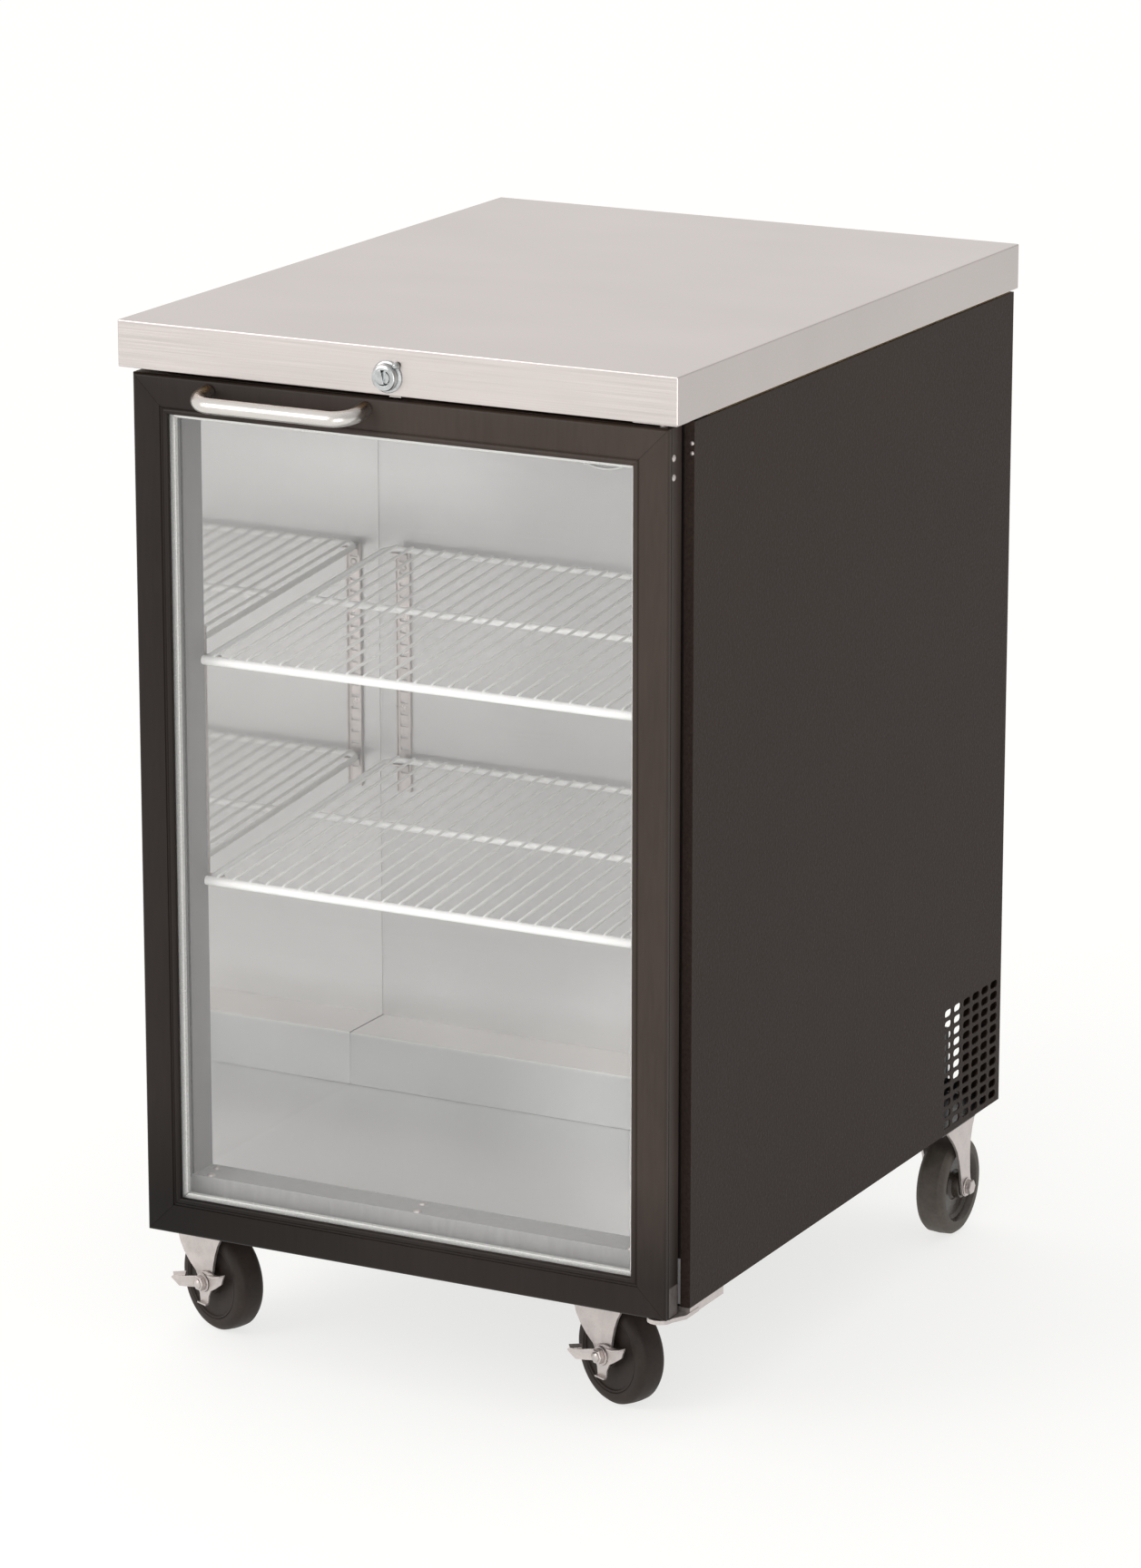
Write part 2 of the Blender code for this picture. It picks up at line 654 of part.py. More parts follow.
# ---------------------------------------------------------------- lock
def make_lock():
    facing_front = (math.pi / 2, 0, 0)
    where = {"location": place(LOCK_X, 0, LOCK_DEPTH), "rotation": facing_front}
    profile = [
        (0.0068, 0.0036), (0.0125, 0.0036), (0.0140, 0.0026), (0.0142, 0.0003),
        (0.0094, 0.0003), (0.0094, -0.0340), (0.0068, -0.0340),
    ]
    turned("lock_housing", profile, "zinc", steps=24, closed=True, **where)
    plug = add("lock_plug", cylinder_mesh("lock_plug", 0.0065, 0.0350), "zinc",
               place(LOCK_X, 0.0127, LOCK_DEPTH), facing_front)
    keyway = block("keyway", (LOCK_X - 0.0011, LOCK_X + 0.0011), (-0.01, 0.0005),
                   (LOCK_DEPTH - 0.0042, LOCK_DEPTH + 0.0042), None)
    boolean(plug, keyway)
    block("lock_bolt", (LOCK_X - 0.006, LOCK_X + 0.006), (0.014, 0.026), (0.0372, 0.0488), "zinc")


# ---------------------------------------------------------------- refrigeration
def make_comb(name, xs, ys, ds, fins, finish_name):
    """A finned coil block: thin fins standing on one spine, extruded across x."""
    pitch = (ds[1] - ds[0]) / (fins - 0.5)
    spine = ys[1] - 0.012
    points = [(ys[1], ds[0])]
    for index in range(fins):
        fin_top = ds[0] + pitch * index
        points += [(ys[0], fin_top), (ys[0], fin_top + pitch / 2)]
        if index < fins - 1:
            points += [(spine, fin_top + pitch / 2), (spine, fin_top + pitch)]
    points.append((ys[1], ds[1]))
    return side_profile(name, points, (xs[1] - xs[0]) / 2, finish_name, sum(xs) / 2)


def make_fan_blade(name, location, rotation, radius, blades):
    """Pitched blades on a hub; the axis is local Z."""
    fan = add(name, cylinder_mesh(name, radius * 0.28, 0.012, 16), "black_plastic", location,
              rotation)
    mesh = bpy.data.meshes.new(name + "_blades")
    bm = bmesh.new()
    for index in range(blades):
        made = bmesh.ops.create_cube(bm, size=1.0)
        size = (radius * 0.80, radius * 0.42, 0.0016)
        bmesh.ops.scale(bm, vec=size, verts=made["verts"])
        pitch = math.radians(24)
        for vertex in made["verts"]:
            x, y, z = vertex.co
            vertex.co = (x + radius * 0.60, y * math.cos(pitch) - z * math.sin(pitch),
                         y * math.sin(pitch) + z * math.cos(pitch))
        turn = 2 * math.pi * index / blades
        for vertex in made["verts"]:
            x, y, z = vertex.co
            vertex.co = (x * math.cos(turn) - y * math.sin(turn),
                         x * math.sin(turn) + y * math.cos(turn), z)
    bm.to_mesh(mesh)
    bm.free()
    boolean(fan, add(name + "_blades", mesh, None, location, rotation), "UNION")


def make_refrigeration():
    facing_front = (math.pi / 2, 0, 0)
    make_comb("evaporator_coil", (-0.170, 0.170), (0.500, 0.590), (0.400, 0.5997), 14, "aluminium")
    motor = add("evaporator_fan_motor", cylinder_mesh("motor", 0.030, 0.040), "black_plastic",
                place(0, 0.470, 0.140), facing_front)
    hanger = block("motor_hanger", (-0.015, 0.015), (0.460, 0.480), (0.0803, 0.120), None)
    boolean(motor, hanger, "UNION")
    make_fan_blade("evaporator_fan_blade", place(0, 0.438, 0.140), facing_front, 0.044, 5)

    base = CABINET_BOTTOM - SHEET - GAP
    dome = [
        (0.0, 0.165), (0.022, 0.163), (0.045, 0.152), (0.058, 0.132), (0.062, 0.105),
        (0.062, 0.040), (0.054, 0.018), (0.036, 0.007), (0.0, 0.006),
    ]
    compressor = turned("compressor", dome, "black_steel", steps=24,
                        location=place(-0.125, 0.600, base))
    foot = block("compressor_foot", (-0.210, -0.040), (0.545, 0.655), (base - 0.009, base), None)
    boolean(compressor, foot, "UNION")

    make_comb("condenser_coil", (0.055, 0.150), (0.480, 0.560), (0.690, base), 12, "copper")
    motor = add("condenser_fan_motor", cylinder_mesh("motor", 0.032, 0.040), "black_plastic",
                place(0.100, 0.640, 0.790), facing_front)
    stand = block("motor_stand", (0.088, 0.112), (0.628, 0.652), (0.800, base), None)
    boolean(motor, stand, "UNION")
    make_fan_blade("condenser_fan_blade", place(0.100, 0.604, 0.790), facing_front, 0.065, 5)

    pan = block("condensate_pan", (-0.270, -0.220), (0.470, 0.700), (0.850, base), "black_plastic")
    well = block("pan_well", (-0.268, -0.222), (0.472, 0.698), (0.840, base - 0.002), None)
    boolean(pan, well)
    block("thermostat_box", (-0.275, -0.205), (0.620, 0.720), (BAY_TOP + GAP, 0.650), "grey_plastic")
    gland = [
        (0.0045, 0.0035), (0.0105, 0.0035), (0.0120, 0.0020), (0.0120, 0.0003),
        (0.0080, 0.0003), (0.0080, -0.0090), (0.0045, -0.0090),
    ]
    turned("cord_gland", gland, "black_plastic", steps=20, closed=True,
           location=place(GLAND_X, CABINET_BACK - SHEET - GAP, GLAND_DEPTH),
           rotation=(-math.pi / 2, 0, 0))


# ---------------------------------------------------------------- casters
CROWN_TOP = 0.0595
CROWN_BOTTOM = 0.0555
LEG_INNER = 0.018
LEG_OUTER = 0.021
PLATE_TOP = TOTAL_HEIGHT - CABINET_BOTTOM - WHEEL_RADIUS - GAP


def front_leg(trail):
    """Outline of a front fork leg in (along the trail, up), the axle at height zero."""
    leading = [(-0.026, CROWN_TOP), (-0.026, 0.0560), (0.008, 0.0530), (trail - 0.020, 0.0440),
               (trail - 0.013, 0.0280), (trail - 0.0095, 0.0100)]
    foot = arc((trail, 0), 0.0092, 180, 360, 6)
    guard = [(trail + 0.012, 0.0075), (trail + 0.024, 0.0155), (trail + 0.035, 0.0265),
             (trail + 0.041, 0.0390), (trail + 0.043, 0.0510), (trail + 0.043, CROWN_TOP)]
    return leading + foot + guard


def rear_leg(trail):
    """Outline of a rear fork leg, a narrow Y."""
    leading = [(-0.028, CROWN_TOP), (-0.024, 0.0570), (-0.006, 0.0535), (0.006, 0.0470),
               (0.0120, 0.0380), (trail - 0.0145, 0.0250)]
    foot = arc((trail, 0), 0.0110, 180, 360, 6)
    trailing = [(trail + 0.0115, 0.0250), (trail + 0.0125, 0.0400), (trail + 0.0170, 0.0500),
                (trail + 0.0270, CROWN_TOP)]
    return leading + foot + trailing


def make_caster(name, kingpin, heading, trail, braked):
    turn = pivot("caster_%s_swivel" % name, (kingpin[0], FRONT_EDGE + kingpin[1], WHEEL_RADIUS),
                 (0, 0, heading))
    mount = add("caster_%s_plate" % name, block_mesh("plate", (0.053, 0.086, 0.003)), "zinc",
                (turn.location.x, turn.location.y, WHEEL_RADIUS + PLATE_TOP - 0.0015))
    race_low = CROWN_TOP + GAP
    race_mesh = cylinder_mesh("race", 0.025, PLATE_TOP - 0.001 - race_low)
    race_middle = WHEEL_RADIUS + (PLATE_TOP - 0.001 + race_low) / 2
    race = add("race_" + name, race_mesh, None, (turn.location.x, turn.location.y, race_middle))
    boolean(mount, race, "UNION")
    pin = add("kingpin_" + name, cylinder_mesh("kingpin", 0.006, 0.016, 12), None,
              (turn.location.x, turn.location.y, WHEEL_RADIUS + race_low))
    boolean(mount, pin, "UNION")

    crown_end = trail + (0.043 if braked else 0.027)
    crown_size = (crown_end + 0.028, 2 * LEG_OUTER, CROWN_TOP - CROWN_BOTTOM)
    crown_middle = ((crown_end - 0.028) / 2, 0, (CROWN_TOP + CROWN_BOTTOM) / 2)
    fork = add("caster_%s_fork" % name, block_mesh("crown", crown_size), "zinc", crown_middle,
               parent=turn)
    leg = front_leg(trail) if braked else rear_leg(trail)
    leg = [(x, z - 0.0002) for x, z in leg]
    for label, sign in (("a", 1), ("b", -1)):
        side = sign * ((LEG_INNER + LEG_OUTER) / 2 - 0.0001)
        tool = add("leg_%s_%s" % (label, name), outline_mesh([leg], LEG_OUTER - LEG_INNER), None,
                   (0, side, 0), PLATE_XZ, turn)
        boolean(fork, tool, "UNION")
    axle_hole = add("axle_hole_" + name, cylinder_mesh("axle_hole", 0.0043, 0.06, 16), None,
                    (trail, 0, 0), PLATE_XZ, turn)
    boolean(fork, axle_hole)
    pin_hole = add("pin_hole_" + name, cylinder_mesh("pin_hole", 0.0066, 0.02, 16), None,
                   (0, 0, CROWN_TOP), (0, 0, 0), turn)
    boolean(fork, pin_hole)

    web = 0.0125 if braked else 0.0055
    half = WHEEL_WIDTH / 2
    radius = WHEEL_RADIUS
    profile = [
        (0.0045, 0.0168), (0.0135, 0.0168), (0.0150, web), (0.0355, web), (0.0375, half),
        (radius - 0.0050, half), (radius - 0.0010, half - 0.0035), (radius, 0.0),
        (radius - 0.0010, 0.0035 - half), (radius - 0.0050, -half), (0.0375, -half),
        (0.0355, -web), (0.0150, -web), (0.0135, -0.0168), (0.0045, -0.0168),
    ]
    turned("caster_%s_wheel" % name, profile, "rubber", steps=24, closed=True,
           location=(trail, 0, 0), rotation=(-math.pi / 2, 0, 0), parent=turn)

    near = 0.0248 if braked else 0.0213
    far = -0.0213
    head = 0.0052
    shaft_length = near - far + 2 * head - 0.002
    shaft_middle = (near + far) / 2
    axle = add("caster_%s_axle" % name, cylinder_mesh("shaft", 0.0038, shaft_length, 12), "zinc",
               (trail, shaft_middle, 0), PLATE_XZ, turn)
    for label, start in (("nut", near + head / 2), ("head", far - head / 2)):
        hexagon = add("%s_%s" % (label, name), cylinder_mesh("hexagon", 0.0075, head, 6), None,
                      (trail, start, 0), PLATE_XZ, turn)
        boolean(axle, hexagon, "UNION")
    if braked:
        make_brake(name, trail, turn)


def make_brake(name, trail, turn):
    """Stamped brake lever on the axle, with a tongue below and a wing bent outwards."""
    outline = [
        (-0.036, 0.0170), (-0.033, 0.0080), (-0.015, -0.0010), (-0.0090, -0.0100),
        (-0.0060, -0.0220), (0.0060, -0.0220), (0.0075, -0.0110), (0.0230, -0.0150),
        (0.0250, -0.0060), (0.0120, 0.0050), (0.0030, 0.0120), (-0.0120, 0.0130),
    ]
    middle = LEG_OUTER + 0.0019
    lever = add("caster_%s_brake" % name, outline_mesh([outline], 0.0028), "zinc",
                (trail, middle, 0), PLATE_XZ, turn)
    wing = add("wing_" + name, block_mesh("wing", (0.0022, 0.0140, 0.0085)), None,
               (trail + 0.0236, middle + 0.0062, -0.0105), (0, 0, 0), turn)
    boolean(lever, wing, "UNION")
    hole = add("brake_hole_" + name, cylinder_mesh("brake_hole", 0.0044, 0.02, 16), None,
               (trail, middle, 0), PLATE_XZ, turn)
    boolean(lever, hole)


# ---------------------------------------------------------------- the whole fridge
make_worktop()
make_side_panels()
make_back_and_base()
make_front_frame()
make_liner()
make_air_panel()
for shelf_label, shelf_depth in SHELF_DEPTHS.items():
    make_shelf(shelf_label, shelf_depth)
for pilaster_end in ("front", "rear"):
    for pilaster_side in ("left", "right"):
        make_pilaster(pilaster_end, pilaster_side)
make_door()
make_hinge_brackets()
make_lock()
make_refrigeration()
for caster_side, caster_sign in (("left", -1), ("right", 1)):
    front_place = (caster_sign * FRONT_KINGPIN[0], FRONT_KINGPIN[1])
    rear_place = (caster_sign * REAR_KINGPIN[0], REAR_KINGPIN[1])
    make_caster("front_" + caster_side, front_place, FRONT_HEADING, FRONT_TRAIL, True)
    make_caster("rear_" + caster_side, rear_place, REAR_HEADING, REAR_TRAIL, False)
for item in list(PARTS.objects) + list(CUTTERS.objects):
    if item.parent is None:
        item.location.x += SIDE_SHIFT
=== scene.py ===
"""Looks of the under counter fridge: finishes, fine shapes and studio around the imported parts."""
import json
import math

import bmesh
import bpy
from mathutils import Matrix, Vector


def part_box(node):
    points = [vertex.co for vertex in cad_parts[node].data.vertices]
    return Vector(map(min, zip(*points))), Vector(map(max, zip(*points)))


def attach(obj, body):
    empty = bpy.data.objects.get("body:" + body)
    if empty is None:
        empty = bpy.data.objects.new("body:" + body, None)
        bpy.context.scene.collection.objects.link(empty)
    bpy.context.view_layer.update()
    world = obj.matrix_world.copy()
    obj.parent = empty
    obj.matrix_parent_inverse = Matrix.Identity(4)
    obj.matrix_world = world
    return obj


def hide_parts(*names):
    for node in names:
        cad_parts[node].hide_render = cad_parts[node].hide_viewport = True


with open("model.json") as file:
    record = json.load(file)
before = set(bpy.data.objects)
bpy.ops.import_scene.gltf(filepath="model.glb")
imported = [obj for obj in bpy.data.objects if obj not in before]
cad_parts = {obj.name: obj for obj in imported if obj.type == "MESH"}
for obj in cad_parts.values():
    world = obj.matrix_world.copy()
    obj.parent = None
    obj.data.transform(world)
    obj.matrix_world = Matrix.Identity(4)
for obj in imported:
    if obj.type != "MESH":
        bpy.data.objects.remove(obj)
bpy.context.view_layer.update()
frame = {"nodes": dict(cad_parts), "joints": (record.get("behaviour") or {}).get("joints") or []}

NODES = frame["nodes"]
JOINTS = {joint["name"]: joint for joint in frame["joints"]}

WORKTOP_LOW, WORKTOP_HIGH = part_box("worktop")
MIDDLE_X = (WORKTOP_LOW.x + WORKTOP_HIGH.x) / 2
FRONT_Y = WORKTOP_LOW.y
TOP_Z = WORKTOP_HIGH.z

SIDES = ("left", "right")
CORNERS = [(end, side) for end in ("front", "rear") for side in SIDES]
# Matrices that stand a flat outline's (x, y) up in the frame's XZ or YZ plane.
XZ = Matrix(((1, 0, 0, 0), (0, 0, -1, 0), (0, 1, 0, 0), (0, 0, 0, 1)))
YZ = Matrix(((0, 0, 1, 0), (1, 0, 0, 0), (0, 1, 0, 0), (0, 0, 0, 1)))

# Sizes in metres. A depth is measured down from the worktop's top, and a y from its front edge.
SHEET = 0.0015
SHELL_BACK, SHELL_BOTTOM = 0.742, 0.884
PANEL_GAP = 0.0003
FAN_DEPTH, FAN_RADIUS = 0.14, 0.0525
LEDGE_TOP, RISER_TOP = 0.783, 0.786
SILL_DEPTH = 0.8383

DOOR_LEFT, DOOR_RIGHT = -0.28, 0.277
DOOR_TOP, DOOR_BOTTOM = 0.05, 0.889
DOOR_FRONT, DOOR_DEPTH = 0.008, 0.0255
RAIL_WIDTH = 0.037
LOCK_X = -0.004

SHELF_HALF, SHELF_FRONT, SHELF_BACK = 0.238, 0.052, 0.412
SHELF_DEPTHS = {"upper": 0.312, "lower": 0.528}
SLOT_PITCH = 0.012
SHELF_RISE = 3 * SLOT_PITCH
WIRES = 26

WHEEL_RADIUS = 0.051
LEG_INNER, LEG_OUTER = 0.018, 0.021
CROWN_TOP = 0.0595
REAR_CROWN_TOP = 0.0733
PLATE_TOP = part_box("caster_rear_left_plate")[1].z - WHEEL_RADIUS


def place(x, y, d):
    """A place x right of the worktop's middle, y behind its front edge and d below its top."""
    return Vector((MIDDLE_X + x, FRONT_Y + y, TOP_Z - d))


def new_object(name, data):
    """A new object in the scene."""
    obj = bpy.data.objects.new(name, data)
    bpy.context.scene.collection.objects.link(obj)
    return obj


def map_range(tree, value, *ends):
    """A node's value, taken from the range ends[:2] to the range ends[2:]."""
    node = tree.nodes.new("ShaderNodeMapRange")
    for name, end in zip(("From Min", "From Max", "To Min", "To Max"), ends):
        node.inputs[name].default_value = end
    tree.links.new(value, node.inputs["Value"])
    return node.outputs[0]


def axis_of(tree, vector, axis):
    """One axis of a node's vector."""
    split = tree.nodes.new("ShaderNodeSeparateXYZ")
    tree.links.new(vector, split.inputs[0])
    return split.outputs[axis]


# ---------------- camera, lights, floor
LENS_MM, SENSOR_MM = 142.1, 36.0
CAMERA_PLACE = (2.6973, -4.7894, -1.0866)
CAMERA_DOWN, CAMERA_ROUND = 15.22, 27.7  # degrees below level, and round from the front
FAR_CLIP = 200.0

SKY = (1.0, 0.985, 0.97, 1)
SKY_FADE = (-0.2, 1.0, 0.98, 0.54)  # its strength falls from the left to the right
BACKDROP = (1.0, 1.0, 0.985, 1)
FLOOR_REACH, FLOOR_DROP = 40.0, 0.0003
FLOOR_LOOK = {"Base Color": (0.3, 0.3, 0.295, 1), "Roughness": 0.9,
              "Emission Color": BACKDROP, "Emission Strength": 0.72}
TRANSPARENT_BOUNCES = 32


def make_camera():
    data = bpy.data.cameras.new("camera")
    data.lens, data.sensor_width, data.clip_end = LENS_MM, SENSOR_MM, FAR_CLIP
    camera = new_object("camera", data)
    camera.location = place(*CAMERA_PLACE)
    camera.rotation_euler = (math.radians(90 - CAMERA_DOWN), 0, math.radians(CAMERA_ROUND))
    bpy.context.scene.camera = camera


def make_area_light(name, location, target, size, power, colour=(1, 1, 1), glossy=True):
    data = bpy.data.lights.new(name, "AREA")
    data.shape = "RECTANGLE"
    data.size, data.size_y = size
    data.energy = power
    data.color = colour
    light = new_object(name, data)
    light.location = location
    light.rotation_euler = (target - location).to_track_quat("-Z", "Y").to_euler()
    light.visible_glossy = glossy
    light.visible_camera = False


def make_sky():
    """Soft light that fades across, behind a plain backdrop for the camera."""
    world = bpy.data.worlds.new("studio")
    bpy.context.scene.world = world
    world.use_nodes = True
    tree = world.node_tree
    nodes, links = tree.nodes, tree.links
    nodes.clear()
    across = axis_of(tree, nodes.new("ShaderNodeTexCoord").outputs["Generated"], "X")
    soft, plain = nodes.new("ShaderNodeBackground"), nodes.new("ShaderNodeBackground")
    soft.inputs["Color"].default_value = SKY
    links.new(map_range(tree, across, *SKY_FADE), soft.inputs["Strength"])
    plain.inputs["Color"].default_value = BACKDROP
    mix = nodes.new("ShaderNodeMixShader")
    links.new(nodes.new("ShaderNodeLightPath").outputs["Is Camera Ray"], mix.inputs[0])
    links.new(soft.outputs[0], mix.inputs[1])
    links.new(plain.outputs[0], mix.inputs[2])
    links.new(mix.outputs[0], nodes.new("ShaderNodeOutputWorld").inputs["Surface"])


def make_floor():
    mesh = bpy.data.meshes.new("floor")
    r = FLOOR_REACH
    mesh.from_pydata([(-r, -r, 0), (r, -r, 0), (r, r, 0), (-r, r, 0)], [], [(0, 1, 2, 3)])
    floor = new_object("floor", mesh)
    floor.location.z = -FLOOR_DROP
    material = bpy.data.materials.new("floor")
    material.use_nodes = True
    shader = material.node_tree.nodes["Principled BSDF"]
    for name, value in FLOOR_LOOK.items():
        shader.inputs[name].default_value = value
    mesh.materials.append(material)


def make_studio():
    make_sky()
    make_floor()
    make_area_light("key", place(-1.6, -2.4, -0.9), place(0, 0.3, 0.5), (1.6, 1.6), 26,
                    (1.0, 0.98, 0.96))
    make_area_light("front_fill", place(1.2, -2.6, 0.3), place(0, 0.2, 0.5), (1.4, 1.8), 16,
                    (1.0, 0.99, 0.98))
    make_area_light("inside", place(0, 0.03, 0.42), place(0, 0.4, 0.46), (0.44, 0.6), 0.14,
                    glossy=False)
    bpy.context.scene.view_settings.view_transform = "Standard"
    bpy.context.scene.cycles.transparent_max_bounces = TRANSPARENT_BOUNCES


# ---------------- finishes
LOOKS = {}
BLACK, WHITE = (0.0, 0.0, 0.0), (1.0, 1.0, 1.0)


def srgb(*values):
    """Linear colour of 8-bit display values."""
    values = [value / 255 for value in values]
    return tuple(v / 12.92 if v <= 0.04045 else ((v + 0.055) / 1.055) ** 2.4 for v in values)


def shade(colour, factor):
    return tuple(channel * factor for channel in colour)


class Finish:
    """A Principled material with helper calls that add procedural detail."""

    def __init__(self, name, metallic=0.0, roughness=0.5, specular=0.5):
        material = bpy.data.materials.new("look_" + name)
        material.use_nodes = True
        self.tree = material.node_tree
        self.nodes, self.links = self.tree.nodes, self.tree.links
        self.shader = self.nodes["Principled BSDF"]
        self.shader.inputs["Metallic"].default_value = metallic
        self.shader.inputs["Roughness"].default_value = roughness
        self.shader.inputs["Specular IOR Level"].default_value = specular
        self.coords = self.nodes.new("ShaderNodeTexCoord")
        LOOKS[name] = material

    def feed(self, socket, value):
        """Gives a socket a number, a colour or another node's output."""
        if isinstance(value, tuple):
            socket.default_value = (*value, 1)
        elif isinstance(value, (float, int)):
            socket.default_value = value
        else:
            self.links.new(value, socket)

    def texture(self, kind, scale):
        """A texture over object space; its scale is one for all axes, or one for each."""
        mapping = self.nodes.new("ShaderNodeMapping")
        mapping.inputs["Scale"].default_value = scale if isinstance(scale, tuple) else (scale,) * 3
        self.links.new(self.coords.outputs["Object"], mapping.inputs["Vector"])
        texture = self.nodes.new(kind)
        texture.inputs["Scale"].default_value = 1.0
        self.links.new(mapping.outputs[0], texture.inputs["Vector"])
        return texture

    def noise(self, scale, detail, rough=0.55):
        texture = self.texture("ShaderNodeTexNoise", scale)
        texture.inputs["Detail"].default_value = detail
        texture.inputs["Roughness"].default_value = rough
        return texture.outputs["Fac"]

    def cells(self, scale):
        return self.texture("ShaderNodeTexVoronoi", scale).outputs["Distance"]

    def blend(self, fac, first, second, low=0.3, high=0.7):
        """Colour from first to second as the value goes from low to high."""
        ramp = self.nodes.new("ShaderNodeValToRGB")
        ends = zip(ramp.color_ramp.elements, (low, high), (first, second))
        for element, position, colour in ends:
            element.position = position
            element.color = (*colour, 1)
        self.links.new(fac, ramp.inputs[0])
        return ramp.outputs["Color"]

    def tones(self, fac, colour, dark, light, low=0.3, high=0.7):
        """A colour from a darker to a lighter tone as the value goes from low to high."""
        return self.blend(fac, shade(colour, dark), shade(colour, light), low, high)

    def mix(self, fac, first, second, mode="MIX"):
        node = self.nodes.new("ShaderNodeMix")
        node.data_type = "RGBA"
        node.blend_type = mode
        for name, value in (("Factor", fac), ("A", first), ("B", second)):
            self.feed(node.inputs[name], value)
        return node.outputs["Result"]

    def fade(self, axis, start, end, tone, dark, low, high):
        """Multiplies a tone by dark near start, and by white near end, along one axis."""
        way = self.remap(self.along(axis), 0.0, 1.0, start, end)
        return self.mix(1.0, tone, self.blend(way, dark, WHITE, low, high), "MULTIPLY")

    def remap(self, value, low, high, from_low=0.3, from_high=0.7):
        return map_range(self.tree, value, from_low, from_high, low, high)

    def math(self, operation, first, second):
        node = self.nodes.new("ShaderNodeMath")
        node.operation = operation
        for socket, value in zip(node.inputs, (first, second)):
            self.feed(socket, value)
        return node.outputs[0]

    def normal_axis(self, axis):
        """How much the surface faces along one world axis, sign included."""
        geometry = self.nodes.new("ShaderNodeNewGeometry")
        return axis_of(self.tree, geometry.outputs["Normal"], axis)

    def along(self, axis):
        """Where the surface is along one axis of the frame, in metres."""
        return axis_of(self.tree, self.coords.outputs["Object"], axis)

    def coat(self, colour, roughness, height, distance, strength):
        """Connects the colour, the roughness unless it is None, and a bump by height."""
        self.links.new(colour, self.shader.inputs["Base Color"])
        if roughness is not None:
            self.links.new(roughness, self.shader.inputs["Roughness"])
        node = self.nodes.new("ShaderNodeBump")
        node.inputs["Strength"].default_value = strength
        node.inputs["Distance"].default_value = distance
        self.links.new(height, node.inputs["Height"])
        self.links.new(node.outputs[0], self.shader.inputs["Normal"])


# Finishes whose colour, roughness and bump follow one noise: name, colour, its darkest and
# lightest tone, noise, roughness from and to, bump, and metallic, roughness and specular.
SPECKLED = (
    ("seal_grey", (118, 116, 117), 0.88, 1.08, (240, 3), (0.52, 0.68), (0.00006, 0.5),
     0, 0.6, 0.35),
    ("satin_alloy", (214, 210, 206), 0.96, 1.02, ((25, 260, 260), 3), (0.26, 0.31),
     (0.00002, 0.08), 1, 0.27),
    ("lock_chrome", (196, 199, 200), 0.78, 1.08, (160, 3), (0.12, 0.26), (0.00008, 0.5), 1, 0.16),
    ("white_wire", (251, 251, 250), 0.94, 1, (90, 3), (0.28, 0.42), (0.0002, 0.4), 0, 0.34),
    ("wheel_web", (30, 26, 25), 0.8, 1.25, (120, 4), (0.18, 0.36), (0.00008, 0.5), 0, 0.25),
    ("web_dusty", (60, 53, 48), 0.8, 1.25, (120, 4), (0.18, 0.36), (0.00008, 0.5), 0, 0.25),
    ("black_plastic", (38, 37, 37), 0.8, 1.2, (350, 4), (0.38, 0.55), (0.00008, 0.5),
     0, 0.45, 0.45),
    ("black_enamel", (33, 33, 34), 0.8, 1.3, (120, 4), (0.22, 0.4), (0.0001, 0.5), 0, 0.3),
    ("copper", (190, 118, 84), 0.55, 1.05, (50, 5, 0.65), (0.22, 0.48), (0.0001, 0.4), 1, 0.3),
    ("board", (170, 135, 95), 0.7, 1, ((30, 300, 300), 5, 0.65), None, (0.0003, 0.6), 0, 0.8, 0.2),
)


